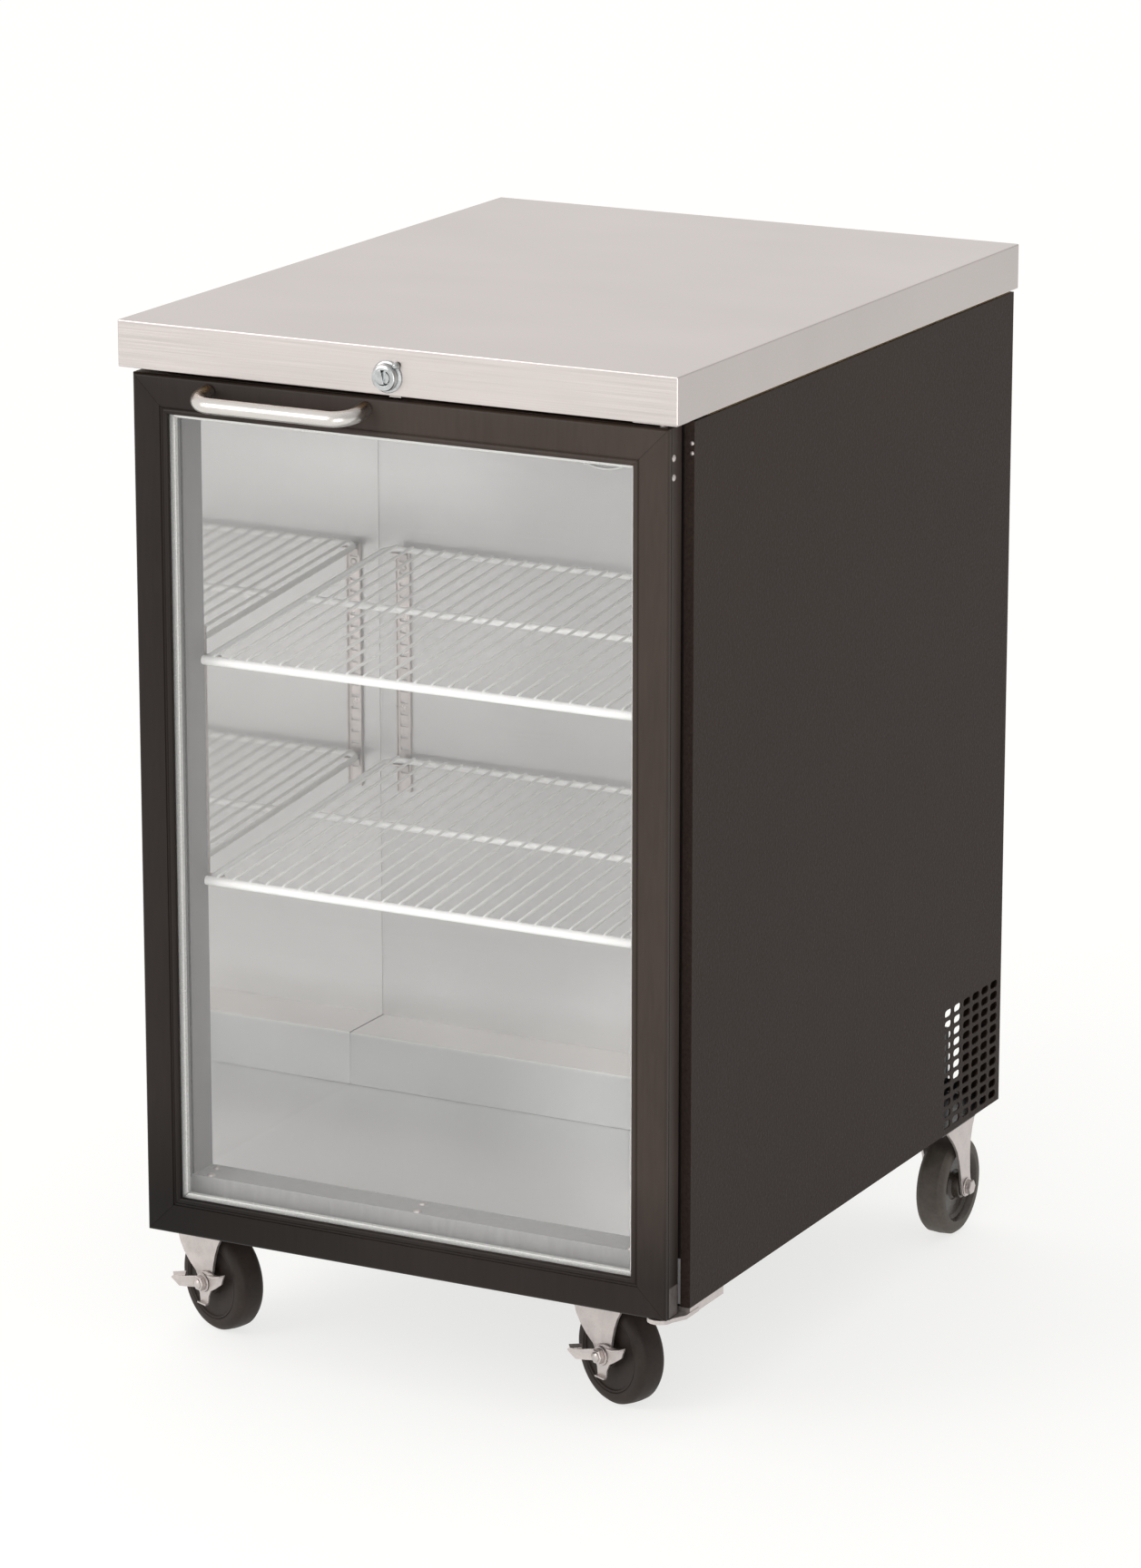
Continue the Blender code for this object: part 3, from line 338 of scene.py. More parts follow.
def make_sheet_finishes():
    """Finishes of the shell, the door and the inside."""
    steel = srgb(203, 196, 193)
    f = Finish("worktop_steel", 1, 0.34)
    streaks = f.noise((6, 900, 900), 5)
    clouds = f.noise((5, 7, 7), 2)
    tone = f.mix(0.35, f.tones(streaks, steel, 0.9, 1.09), f.tones(clouds, steel, 0.93, 1.06))
    # Painted shade: faces that look along +x, the worktop's right side, are darkened by up to 14
    # percent.
    tone = f.mix(f.remap(f.normal_axis("X"), 0.0, 0.14, 0.5, 0.9), tone, BLACK)
    f.coat(tone, f.remap(streaks, 0.28, 0.42), streaks, 0.00012, 0.5)

    dark = srgb(49, 39, 34)
    f = Finish("pebbled_black", roughness=0.55, specular=0.12)
    grain = f.noise(420, 3, 0.6)
    cells = f.cells(300)
    tone = f.mix(0.35, f.tones(grain, dark, 0.62, 1.45, 0.32, 0.72),
                 f.tones(f.noise(9, 3), dark, 0.88, 1.12))
    # Painted shade: the shell's panels are darkened towards the bottom.
    tone = f.fade("Z", place(0, 0, SHELL_BOTTOM).z, place(0, 0, 0.05).z, tone,
                  (0.8, 0.78, 0.78), 0.0, 1.0)
    f.coat(tone, f.remap(grain, 0.44, 0.66),
           f.math("ADD", grain, f.math("MULTIPLY", cells, 0.6)), 0.00035, 0.6)

    dark = srgb(62, 53, 48)
    f = Finish("frame_black", roughness=0.36, specular=0.16)
    grain = f.noise((260, 260, 30), 4)
    marks = f.noise((14, 14, 5), 5, 0.6)
    tone = f.mix(0.5, f.tones(grain, dark, 0.85, 1.18), f.tones(marks, dark, 0.86, 1.16))
    # Painted shade: the bottom rail and the left side of the frame are darkened, as the light falls
    # on the door.
    tone = f.fade("Z", place(0, 0, DOOR_BOTTOM).z, place(0, 0, DOOR_TOP).z, tone,
                  (0.4, 0.4, 0.4), 0.04, 0.16)
    tone = f.fade("X", place(DOOR_LEFT, 0, 0).x, place(DOOR_RIGHT, 0, 0).x, tone,
                  (0.38, 0.38, 0.38), 0.05, 0.55)
    f.coat(tone, f.remap(marks, 0.3, 0.44), grain, 0.00004, 0.4)

    inner = srgb(238, 237, 237)
    f = Finish("liner_steel", 1, 0.2)
    grain = f.noise((500, 500, 16), 4)
    tone = f.mix(0.4, f.tones(grain, inner, 0.93, 1.05), f.tones(f.noise(7, 3), inner, 0.95, 1.05))
    # Painted light: faces that look sideways, the side walls, get a lighter tone than the rest of
    # the liner.
    facing = f.math("ABSOLUTE", f.normal_axis("X"), 0.0)
    tone = f.mix(f.math("MULTIPLY", facing, 0.85), tone, srgb(253, 252, 251))
    rough = f.math("ADD", f.remap(facing, 0.3, 0.05, 0.3, 0.9), f.remap(grain, -0.01, 0.02))
    f.coat(tone, rough, grain, 0.00003, 0.4)

    inner = srgb(201, 200, 200)
    f = Finish("panel_steel", 0.75, 0.38)
    grain = f.noise((16, 500, 500), 4)
    clouds = f.noise((4, 6, 5), 3)
    tone = f.mix(0.6, f.tones(grain, inner, 0.94, 1.05), f.tones(clouds, inner, 0.86, 1.12))
    # Painted shade: below the ledge's top the panel is painted a darker grey.
    riser = f.remap(f.along("Z"), 1.0, 0.0, place(0, 0, RISER_TOP).z, place(0, 0, LEDGE_TOP).z)
    tone = f.mix(riser, tone, srgb(176, 178, 178))
    # Painted reflection: faces that look up, the ledge's top, get a warm near-white tone.
    tone = f.mix(f.remap(f.normal_axis("Z"), 0.0, 1.0, 0.5, 0.8), tone, srgb(250, 247, 244))
    f.coat(tone, f.remap(clouds, 0.34, 0.5), grain, 0.00004, 0.4)

    f = Finish("jamb_grey", roughness=0.48, specular=0.4)
    grain = f.noise((180, 180, 40), 3)
    # Painted shade: faces that look to the front are painted near-black, for the shaded gap behind
    # the door.
    front = f.remap(f.normal_axis("Y"), 1.0, 0.0, -0.9, -0.4)
    tone = f.mix(front, f.tones(grain, srgb(122, 120, 121), 0.92, 1.06), srgb(28, 24, 22))
    # Painted light: below the sill's top the frame is painted a lighter grey than its own tone.
    sill = place(0, 0, SILL_DEPTH).z
    tone = f.mix(f.remap(f.along("Z"), 1.0, 0.0, sill + 0.0002, sill + 0.0008), tone,
                 f.blend(grain, srgb(158, 158, 158), srgb(170, 169, 169)))
    f.coat(tone, None, grain, 0.00005, 0.4)


def make_small_finishes():
    """Finishes of the fittings, the wheels, the machines and the glass."""
    zinc = srgb(205, 197, 194)
    f = Finish("zinc", 0.85, 0.38)
    grain = f.noise(700, 4)
    clouds = f.noise(60, 3, 0.6)
    tone = f.mix(0.3, f.tones(clouds, zinc, 0.8, 1.06, 0.35, 0.65),
                 f.tones(grain, zinc, 0.75, 1.1))
    f.coat(tone, f.remap(clouds, 0.26, 0.5), grain, 0.00006, 0.5)

    foil = srgb(226, 226, 224)
    f = Finish("perforated_foil", 0.3, 0.35)
    holes = f.cells(620)
    f.coat(f.tones(holes, foil, 0.45, 1, 0.16, 0.3), f.remap(holes, 0.5, 0.25, 0.1, 0.4),
           holes, 0.0003, 0.6)

    for name, tread in (("tyre_rubber", srgb(46, 39, 35)), ("tyre_dusty", srgb(82, 76, 70))):
        f = Finish(name, roughness=0.55, specular=0.2)
        grain = f.noise(260, 5, 0.6)
        scuffs = f.noise(45, 5, 0.65)
        tone = f.mix(0.3, f.tones(scuffs, tread, 0.75, 1.5, 0.4, 0.75),
                     f.tones(grain, tread, 0.7, 1.3))
        f.coat(tone, f.remap(scuffs, 0.42, 0.66), grain, 0.00012, 0.5)

    f = Finish("foam", roughness=0.9, specular=0.2)
    cells = f.cells(180)
    f.coat(f.tones(cells, srgb(214, 200, 160), 0.75, 1, 0.1, 0.6), None, cells, 0.0006, 0.7)

    f = Finish("pane", roughness=0.04, specular=0.6)
    smear = f.noise(3, 3)
    f.shader.inputs["Alpha"].default_value = 0.05
    f.coat(f.blend(smear, srgb(214, 215, 215), srgb(228, 229, 228)), None, smear, 0.0002, 0.15)

    for name, colour, dark, light, noise, rough_range, bump, *shader in SPECKLED:
        f = Finish(name, *shader)
        grain = f.noise(*noise)
        ramp = (0.35, 0.65) if name == "copper" else (0.3, 0.7)
        f.coat(f.tones(grain, srgb(*colour), dark, light, *ramp),
               f.remap(grain, *rough_range) if rough_range else None, grain, *bump)

    f = Finish("jamb_dark", specular=0.4)
    grain = f.noise(220, 3)
    f.coat(f.blend(grain, srgb(74, 67, 66), srgb(90, 82, 80)), None, grain, 0.00006, 0.5)


# ---------------- mesh building
def add_box(bm, low, high, matrix=Matrix()):
    v = [bm.verts.new(matrix @ Vector((x, y, z))) for x in (low[0], high[0])
         for y in (low[1], high[1]) for z in (low[2], high[2])]
    for ids in ((0, 1, 3, 2), (4, 6, 7, 5), (0, 4, 5, 1), (2, 3, 7, 6), (0, 2, 6, 4),
                (1, 5, 7, 3)):
        bm.faces.new([v[i] for i in ids])


def join_loops(bm, first, second):
    """Faces between two loops of the same number of points."""
    count = len(first)
    return [bm.faces.new((first[i], first[(i + 1) % count], second[(i + 1) % count], second[i]))
            for i in range(count)]


def add_prism(bm, outline, low, high, matrix, folds=(), bend=None):
    """Outline of (x, y) points from low to high along z, cut at the folds and then bent."""
    part = bmesh.new()
    bottom = [part.verts.new((x, y, low)) for x, y in outline]
    top = [part.verts.new((x, y, high)) for x, y in outline]
    part.faces.new(list(reversed(bottom)))
    part.faces.new(top)
    join_loops(part, bottom, top)
    for fold in folds:
        bmesh.ops.bisect_plane(part, geom=part.verts[:] + part.edges[:] + part.faces[:],
                               plane_co=(fold, 0, 0), plane_no=(1, 0, 0))
    if bend is not None:
        for vertex in part.verts:
            vertex.co = bend(vertex.co)
    merge(bm, part, matrix)


def merge(bm, part, matrix):
    """Adds a part's faces to bm, moved by the matrix."""
    part.verts.index_update()
    new = [bm.verts.new(matrix @ v.co) for v in part.verts]
    for face in part.faces:
        bm.faces.new([new[v.index] for v in face.verts])
    part.free()


def round_steps(count):
    """Cosine and sine of each of count even steps round a circle."""
    angles = [2 * math.pi * k / count for k in range(count)]
    return [(math.cos(angle), math.sin(angle)) for angle in angles]


def add_tube(bm, path, radius, sides=12, closed=False):
    """A round tube along a path, its ends capped unless it is closed."""
    path = [Vector(point) for point in path]
    count = len(path)
    rings = []
    normal = None
    for i in range(count):
        before = path[i - 1] if (i > 0 or closed) else path[i]
        after = path[(i + 1) % count] if (i < count - 1 or closed) else path[i]
        tangent = (after - before).normalized()
        if normal is None:
            normal = tangent.orthogonal().normalized()
        else:
            normal = (normal - tangent * normal.dot(tangent)).normalized()
        across = tangent.cross(normal)
        rings.append([bm.verts.new(path[i] + (normal * cosine + across * sine) * radius)
                      for cosine, sine in round_steps(sides)])
    for i in range(count if closed else count - 1):
        join_loops(bm, rings[i], rings[(i + 1) % count])
    if not closed:
        bm.faces.new(list(reversed(rings[0])))
        bm.faces.new(rings[-1])


def add_lathe(bm, profile, matrix, steps=48, slots=None, closed=True):
    """(radius, height) points turned about z; a closed profile has a bore."""
    rings = []
    for radius, height in profile:
        spots = round_steps(steps) if radius > 1e-7 else [(0, 0)]
        rings.append([bm.verts.new(matrix @ Vector((radius * cosine, radius * sine, height)))
                      for cosine, sine in spots])
    pairs = list(zip(rings, rings[1:]))
    if closed:
        pairs.append((rings[-1], rings[0]))
    for index, (first, second) in enumerate(pairs):
        for k in range(steps):
            m = (k + 1) % steps
            corners = (first[k % len(first)], second[k % len(second)],
                       second[m % len(second)], first[m % len(first)])
            face = bm.faces.new(tuple(dict.fromkeys(corners)))
            if slots:
                face.material_index = slots[index]


def add_disc(bm, matrix, radius, low, high, steps):
    add_lathe(bm, [(0, low), (radius, low), (radius, high), (0, high)], matrix, steps,
              closed=False)


def add_dome(bm, centre, normal, radius, height):
    """A domed rivet or screw head standing on a face."""
    turn = Vector((0, 0, 1)).rotation_difference(Vector(normal)).to_matrix().to_4x4()
    profile = [(0, height), (radius * 0.45, height * 0.93), (radius * 0.75, height * 0.7),
               (radius * 0.95, height * 0.32), (radius, 0.0), (0, 0.0)]
    add_lathe(bm, profile, Matrix.Translation(centre) @ turn, 16, closed=False)


def mm(*points):
    """Points given in millimetres."""
    return [(x / 1000, y / 1000) for x, y in points]


def shifted(points, x):
    return [(x + px, py) for px, py in points]


def arc(centre, radius, start, end, count):
    points = []
    for index in range(count + 1):
        angle = math.radians(start + (end - start) * index / count)
        points.append((centre[0] + radius * math.cos(angle), centre[1] + radius * math.sin(angle)))
    return points


def rounded_path(corners, radius, steps, closed=False):
    """A path through the corners with a round bend at each."""
    corners = [Vector(corner) for corner in corners]
    count = len(corners)
    path = [] if closed else [corners[0]]
    inner = range(count) if closed else range(1, count - 1)
    for i in inner:
        corner, before, after = corners[i], corners[i - 1], corners[(i + 1) % count]
        a, b = (before - corner).normalized(), (after - corner).normalized()
        half = a.angle(b) / 2
        reach = radius / math.tan(half)
        centre = corner + (a + b).normalized() * (radius / math.sin(half))
        start, end = corner + a * reach - centre, corner + b * reach - centre
        total = start.angle(end)
        for step in range(steps + 1):
            t = step / steps
            one, two = math.sin((1 - t) * total), math.sin(t * total)
            path.append(centre + (start * one + end * two) / math.sin(total))
    if not closed:
        path.append(corners[-1])
    return path


def make_screws(name, body, normal, radius, height, spots):
    bm = bmesh.new()
    for spot in spots:
        add_dome(bm, spot, normal, radius, height)
    emit(bm, name, body, ["zinc"])


def rounded_outline(low, high, radius, steps):
    """Outline of a flat rectangle with round corners, as (x, y) points."""
    corners = [(low[0], low[1], 0), (high[0], low[1], 0), (high[0], high[1], 0),
               (low[0], high[1], 0)]
    return [(p.x, p.y) for p in rounded_path(corners, radius, steps, closed=True)]


def closed_mesh(bm, name):
    """The finished mesh, with its faces turned outwards."""
    bmesh.ops.recalc_face_normals(bm, faces=bm.faces)
    mesh = bpy.data.meshes.new(name)
    bm.to_mesh(mesh)
    bm.free()
    return mesh


def evaluated_mesh(obj):
    """A new mesh of an object as its modifiers or curve settings shape it."""
    bpy.context.view_layer.update()
    evaluated = obj.evaluated_get(bpy.context.evaluated_depsgraph_get())
    return bpy.data.meshes.new_from_object(evaluated)


def emit(bm, name, body, looks, stands_for=(), bevel=0.0, segments=2, angle=32,
         flat=False):
    """Makes the object of a finished mesh, smooth except at its sharp edges, or all flat."""
    mesh = closed_mesh(bm, name)
    obj = new_object(name, mesh)
    for look in looks:
        mesh.materials.append(LOOKS[look])
    if not flat:
        mesh.shade_smooth()
        mesh.set_sharp_from_angle(angle=math.radians(angle))
    if bevel:
        soften(obj, bevel, segments)
    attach(obj, body)
    if stands_for:
        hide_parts(*stands_for)
    return obj


def cut_box(obj, low, high):
    """Cuts a box out of an object's mesh."""
    bm = bmesh.new()
    add_box(bm, low, high)
    mesh = closed_mesh(bm, "cutter")
    cutter = new_object("cutter", mesh)
    modifier = obj.modifiers.new("cut", "BOOLEAN")
    modifier.operation = "DIFFERENCE"
    modifier.solver = "EXACT"
    modifier.object = cutter
    solid = evaluated_mesh(obj)
    obj.modifiers.remove(modifier)
    obj.data = solid
    bpy.data.objects.remove(cutter, do_unlink=True)
    bpy.data.meshes.remove(mesh)


def soften(obj, width, segments=2):
    modifier = obj.modifiers.new("soften", "BEVEL")
    modifier.width = width
    modifier.segments = segments
    modifier.limit_method = "ANGLE"
    modifier.angle_limit = math.radians(40)
    modifier.harden_normals = True


# CAD nodes that stay as they are, by their finish and the width of their softened edges.
DRESSED = {
    ("worktop_steel", 0): ["worktop"], ("board", 0): ["worktop_core"], ("foam", 0): ["insulation"],
    ("pebbled_black", 0.0005): ["back_panel"], ("black_enamel", 0.0005): ["base_pan"],
    ("jamb_grey", 0.0006): ["front_frame"], ("liner_steel", 0): ["liner"],
    ("panel_steel", 0.0006): ["rear_air_panel"], ("pane", 0): ["glass_outer", "glass_inner"],
    ("zinc", 0.0006): ["lock_bolt", "top_hinge_bracket"],
    ("zinc", 0.0007): ["bottom_hinge_bracket"],
    ("zinc", 0.0008): ["caster_front_left_plate", "caster_front_right_plate"],
    ("black_plastic", 0.001): ["evaporator_fan_motor", "condenser_fan_motor"],
    ("black_plastic", 0.0003): ["evaporator_fan_blade", "condenser_fan_blade"],
    ("black_plastic", 0.0004): ["cord_gland"], ("black_plastic", 0.0005): ["condensate_pan"],
    ("jamb_grey", 0.002): ["thermostat_box"], ("satin_alloy", 0): ["evaporator_coil"],
    ("copper", 0): ["condenser_coil"],
}


def dress_nodes():
    for (look, bevel), nodes in DRESSED.items():
        for node in nodes:
            obj = NODES[node]
            obj.data.materials.clear()
            obj.data.materials.append(LOOKS[look])
            if bevel:
                soften(obj, bevel)


# ---------------- door
FRAME_SIDES = ("top", "bottom", "left", "right")
MITRE_GAP = 0.00015


def rail_section():
    """Door frame section as (inset from the edge, depth from the face), and its grey side."""
    lip, rebate, step = RAIL_WIDTH, 0.026, 0.0179
    points = arc((0.003, 0.003), 0.003, 180, 270, 5)
    points += [(lip - 0.0082, 0), (lip - 0.0078, 0.001), (lip - 0.007, 0.001)]
    points += arc((lip - 0.0034, 0.0036), 0.0034, 215, 350, 7)
    points += [(lip, 0.0046), (rebate, 0.0046), (rebate, step)]
    grey = len(points)
    points += [(lip - 0.002, step), (lip - 0.002, DOOR_DEPTH), (0, DOOR_DEPTH), (0, 0.0066),
               (0.0007, 0.0064), (0.0007, 0.0054), (0, 0.0052)]
    return points, grey


def add_rail(bm, section, side, rect, grey=None):
    """One side of a mitred frame round rect = (left, right, top, bottom)."""
    left, right, top, bottom = rect
    ends = []
    for first in (True, False):
        loop = []
        for u, v in section:
            along = u + MITRE_GAP
            if side in ("top", "bottom"):
                x = left + along if first else right - along
                d = top + u if side == "top" else bottom - u
            else:
                x = left + u if side == "left" else right - u
                d = top + along if first else bottom - along
            loop.append(bm.verts.new(place(x, DOOR_FRONT + v, d)))
        ends.append(loop)
    faces = join_loops(bm, *ends)
    if grey is not None:
        faces[grey].material_index = 1
    bm.faces.new(ends[0])
    bm.faces.new(list(reversed(ends[1])))


def make_door():
    rect = (DOOR_LEFT, DOOR_RIGHT, DOOR_TOP, DOOR_BOTTOM)
    section, grey = rail_section()
    for side in FRAME_SIDES:
        bm = bmesh.new()
        add_rail(bm, section, side, rect, grey)
        rail = emit(bm, "door_rail_" + side, "door", ["frame_black", "jamb_grey"],
                    ["door_frame_" + side], angle=25)
        if side == "top":  # the hole that the lock's bolt goes into
            cut_box(rail, place(LOCK_X - 0.007, 0.0125, 0.0625),
                    place(LOCK_X + 0.007, 0.0275, 0.049))

    seal = mm((16, 25.8), (16.4, 27.2), (18, 28.4), (16.8, 30), (16.4, 31.6), (18, 32.4),
              (30, 32.4), (31.6, 31.2), (30, 29.8), (31.6, 28.4), (31.8, 25.8))
    bm = bmesh.new()
    for side in FRAME_SIDES:
        add_rail(bm, seal, side, (DOOR_LEFT, DOOR_RIGHT, DOOR_TOP, DOOR_BOTTOM - 0.001))
    emit(bm, "door_seal", "door", ["seal_grey"], ["door_gasket"], angle=20)

    low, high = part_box("glass_spacer")
    inset = low.x - place(DOOR_LEFT, 0, 0).x
    depth = low.y - place(0, DOOR_FRONT, 0).y
    thick, width = high.y - low.y, 0.0122
    bar = [(inset, depth), (inset + width, depth), (inset + width, depth + thick),
           (inset, depth + thick)]
    bm = bmesh.new()
    for side in FRAME_SIDES:
        add_rail(bm, bar, side, rect)
    emit(bm, "glass_spacer_bar", "door", ["perforated_foil"], ["glass_spacer"],
         bevel=0.0006)

    foot, grip = DOOR_FRONT - 0.0003, -0.0248
    left, right = -0.198, -0.032
    corners = [place(left, foot, 0.061), place(left, grip, 0.0665),
               place(right, grip, 0.0665), place(right, foot, 0.061)]
    bm = bmesh.new()
    add_tube(bm, rounded_path(corners, 0.021, 12), 0.0075, 28)
    emit(bm, "door_handle_bar", "door", ["satin_alloy"], ["door_handle"],
         bevel=0.0006)

    make_screws("door_side_screws", "door", (1, 0, 0), 0.0036, 0.0016,
                [place(DOOR_RIGHT - 0.0003, 0.0185, d) for d in (0.0778, 0.0956)])

    bm = bmesh.new()
    low = place(DOOR_RIGHT - 0.024, DOOR_FRONT + 0.0075, DOOR_BOTTOM)
    add_box(bm, low, low + Vector((0.0242, 0.0175, 0.03)))
    emit(bm, "door_end_cap", "door", ["jamb_dark"], bevel=0.001)


# ---------------- shelves and strips
def make_shelf(label, depth):
    half = (SHELF_BACK - SHELF_FRONT) / 2
    tilt = math.atan(SHELF_RISE / (SHELF_BACK - SHELF_FRONT))
    matrix = Matrix.Translation(place(0, (SHELF_FRONT + SHELF_BACK) / 2, depth))
    matrix = matrix @ Matrix.Rotation(tilt, 4, "X")
    bm = bmesh.new()

    def tube(points, radius, sides=10, closed=False):
        add_tube(bm, [matrix @ Vector(point) for point in points], radius, sides, closed)

    side, end = SHELF_HALF - 0.003, half - 0.003
    rim = rounded_path([(-side, -end, 0), (side, -end, 0), (side, end, 0), (-side, end, 0)],
                       0.014, 6, closed=True)
    tube(rim, 0.003, 12, closed=True)
    front = [(-SHELF_HALF + 0.001, -end, -0.0007), (SHELF_HALF - 0.001, -end, -0.0007)]
    tube(front, 0.0045, 14)
    tube([(-side, 0.013, -0.0004), (side, 0.013, -0.0004)], 0.0034, 12)
    pitch = 2 * (SHELF_HALF - 0.013) / (WIRES - 1)
    lift = 0.0039
    for index in range(WIRES):
        x = (index - (WIRES - 1) / 2) * pitch
        wire = [(x, -half + 0.0016, -0.0006), (x, -half + 0.002, 0.0018),
                (x, -half + 0.0042, lift - 0.0003), (x, -half + 0.008, lift),
                (x, half - 0.006, lift), (x, half - 0.0022, lift - 0.0008)]
        tube(wire, 0.0016, 8)
    emit(bm, "wire_shelf_" + label, "shelf_" + label, ["white_wire"], ["shelf_" + label],
         angle=50)


STRIP_LENGTH = 0.25
FACE = 0.0014
SLOTS = 19


def make_strip(end, side):
    """A slotted strip in a corner, with its clips under the shelves."""
    sign = 1 if side == "right" else -1
    bm = bmesh.new()
    if end == "rear":
        top, half, slot, deep = 0.295, 0.008, 0.0041, 0.0034
        origin, far, reach = place(sign * 0.224, 0.4197, 0), 0.0172, SHELF_BACK
        across, out = Vector((1, 0, 0)), Vector((0, -1, 0))
    else:
        top, half, slot, deep = 0.305, 0.004, 0.0021, 0.0023
        origin, far, reach = place(sign * 0.2517, 0.0795, 0), 0.0195, 0.076
        across, out = Vector((0, 1, 0)), Vector((-sign, 0, 0))
    turn = Matrix((across, out, Vector((0, 0, 1)))).transposed().to_4x4()
    matrix = Matrix.Translation(Vector((origin.x, origin.y, TOP_Z))) @ turn
    bottom = top + STRIP_LENGTH

    def slab(a, b, out_low, out_high, d_top, d_bottom):
        add_box(bm, (a, out_low, -d_bottom), (b, out_high, -d_top), matrix)

    for way in (-1, 1):
        for inner, low, high in ((slot - 0.0001, 0.0, FACE), (half - 0.0012, FACE - 0.0001, deep)):
            xs = sorted((way * inner, way * half))
            slab(xs[0], xs[1], low, high, top, bottom)
    edge = top
    for index in range(SLOTS):
        slot_top = top + 0.014 + SLOT_PITCH * index - 0.0012
        slab(-slot, slot, 0.0, FACE - 0.0001, edge, slot_top)
        edge = slot_top + 0.0024
    slab(-slot, slot, 0.0, FACE - 0.0001, edge, bottom)
    for d in (top + 0.0203, top + 0.2235):
        centre = matrix @ Vector((0, FACE - 0.0001, -d))
        add_dome(bm, centre, matrix.to_3x3() @ Vector((0, 1, 0)), slot - 0.0003, deep / 2)
    drop = SHELF_RISE * ((SHELF_FRONT + SHELF_BACK) / 2 - reach) / (SHELF_BACK - SHELF_FRONT)
    for depth in SHELF_DEPTHS.values():
        d = depth + drop + 0.0036
        hook = [(0.0008, -d - 0.011), (0.0026, -d - 0.011), (0.004, -d - 0.004),
                (far - 0.003, -d - 0.0018), (far, -d - 0.0018), (far, -d),
                (far - 0.0016, -d), (0.003, -d), (0.0008, -d)]
        add_prism(bm, hook, -half * 0.7, half * 0.7, matrix @ YZ)
    emit(bm, "strip_%s_%s" % (end, side), "cabinet", ["zinc"], ["pilaster_%s_%s" % (end, side)],
         bevel=0.0003, segments=1)


# ---------------- cabinet
def fill_mesh(outlines, thickness):
    """Flat outlines with holes, extruded, as a closed mesh."""
    curve = bpy.data.curves.new("outline", "CURVE")
    curve.dimensions = "2D"
    curve.fill_mode = "BOTH"
    curve.extrude = thickness / 2
    for points in outlines:
        spline = curve.splines.new("POLY")
        spline.points.add(len(points) - 1)
        spline.use_cyclic_u = True
        for point, (x, y) in zip(spline.points, points):
            point.co = (x, y, 0.0, 1.0)
    obj = new_object("outline", curve)
    mesh = evaluated_mesh(obj)
    bpy.data.objects.remove(obj, do_unlink=True)
    bpy.data.curves.remove(curve)
    bm = bmesh.new()
    bm.from_mesh(mesh)
    bpy.data.meshes.remove(mesh)
    bmesh.ops.remove_doubles(bm, verts=bm.verts, dist=1e-6)
    return bm


def round_slot(centre, length, height, steps=5):
    x, y = centre
    end = (length - height) / 2
    return (arc((x + end, y), height / 2, -90, 90, steps)
            + arc((x - end, y), height / 2, 90, 270, steps))


def slot_grid(first, pitch, counts, length, height):
    """Outlines of slots in columns and rows, to the right and down from the first."""
    return [round_slot((first[0] + pitch[0] * column, first[1] - pitch[1] * row), length, height)
            for column in range(counts[0]) for row in range(counts[1])]


def make_side_panels():
    half = 0.287
    front, back, top, bottom = 0.039, SHELL_BACK, 0.0475, SHELL_BOTTOM
    slots = slot_grid((FRONT_Y + 0.6135, TOP_Z - 0.757), (0.0222, 0.0117), (6, 11), 0.017, 0.0078)
    outer = [(FRONT_Y + front, TOP_Z - bottom), (FRONT_Y + back, TOP_Z - bottom),
             (FRONT_Y + back, TOP_Z - top), (FRONT_Y + front, TOP_Z - top)]
    for side, sign in zip(SIDES, (-1, 1)):
        bm = bmesh.new()
        middle = MIDDLE_X + sign * (half - SHEET / 2)
        merge(bm, fill_mesh([outer] + slots, SHEET), Matrix.Translation((middle, 0, 0)) @ YZ)
        for y, reach in ((front, 0.01), (back - SHEET, 0.0405)):
            xs = sorted((sign * (half - SHEET), sign * (half - reach)))
            add_box(bm, place(xs[0], y, bottom), place(xs[1], y + SHEET, top))
        emit(bm, "side_skin_" + side, "cabinet", ["pebbled_black"], ["side_panel_" + side],
             flat=True)
    make_screws("flange_screws", "cabinet", (0, -1, 0), 0.0022, 0.0012,
                [place(0.2845, front, d) for d in (0.0673, 0.0764)])


def make_rear():
    inner = SHELL_BACK - SHEET - PANEL_GAP
    bm = bmesh.new()
    slots = slot_grid((MIDDLE_X - 0.205, TOP_Z - 0.69), (0.122, 0.018), (3, 8), 0.1, 0.008)
    gland = place(-0.225, inner, 0.66)
    slots.append(arc((gland.x, gland.z), 0.0085, 0, 345, 23))
    low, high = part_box("rear_grille")
    outer = [(low.x, low.z), (high.x, low.z), (high.x, high.z), (low.x, high.z)]
    merge(bm, fill_mesh([outer] + slots, SHEET),
          Matrix.Translation((0, (low.y + high.y) / 2, 0)) @ XZ)
    emit(bm, "rear_louvre", "cabinet", ["pebbled_black"], ["rear_grille"],
         flat=True)
    bm = bmesh.new()
    add_box(bm, place(0.198, 0.7, 0.8822), place(0.232, 0.734, 0.818))
    add_box(bm, place(0.1975, 0.7335, 0.8822), place(0.2325, 0.738, 0.814))
    add_dome(bm, place(0.215, 0.738, 0.822), (0, 1, 0), 0.003, 0.0014)
    add_box(bm, place(0.1215, 0.735, 0.8822), place(0.247, 0.7364, 0.8684))
    emit(bm, "terminal_box", "cabinet", ["black_plastic"], bevel=0.0008)
    spots = [(x, d) for x in (-0.255, -0.085, 0.085, 0.232) for d in (0.07, 0.34, 0.615)]
    spots += [(x, 0.868) for x in (-0.268, -0.144, -0.022, 0.112)]
    make_screws("rear_screws", "cabinet", (0, 1, 0), 0.0042, 0.0022,
                [place(x, inner, d) for x, d in spots])


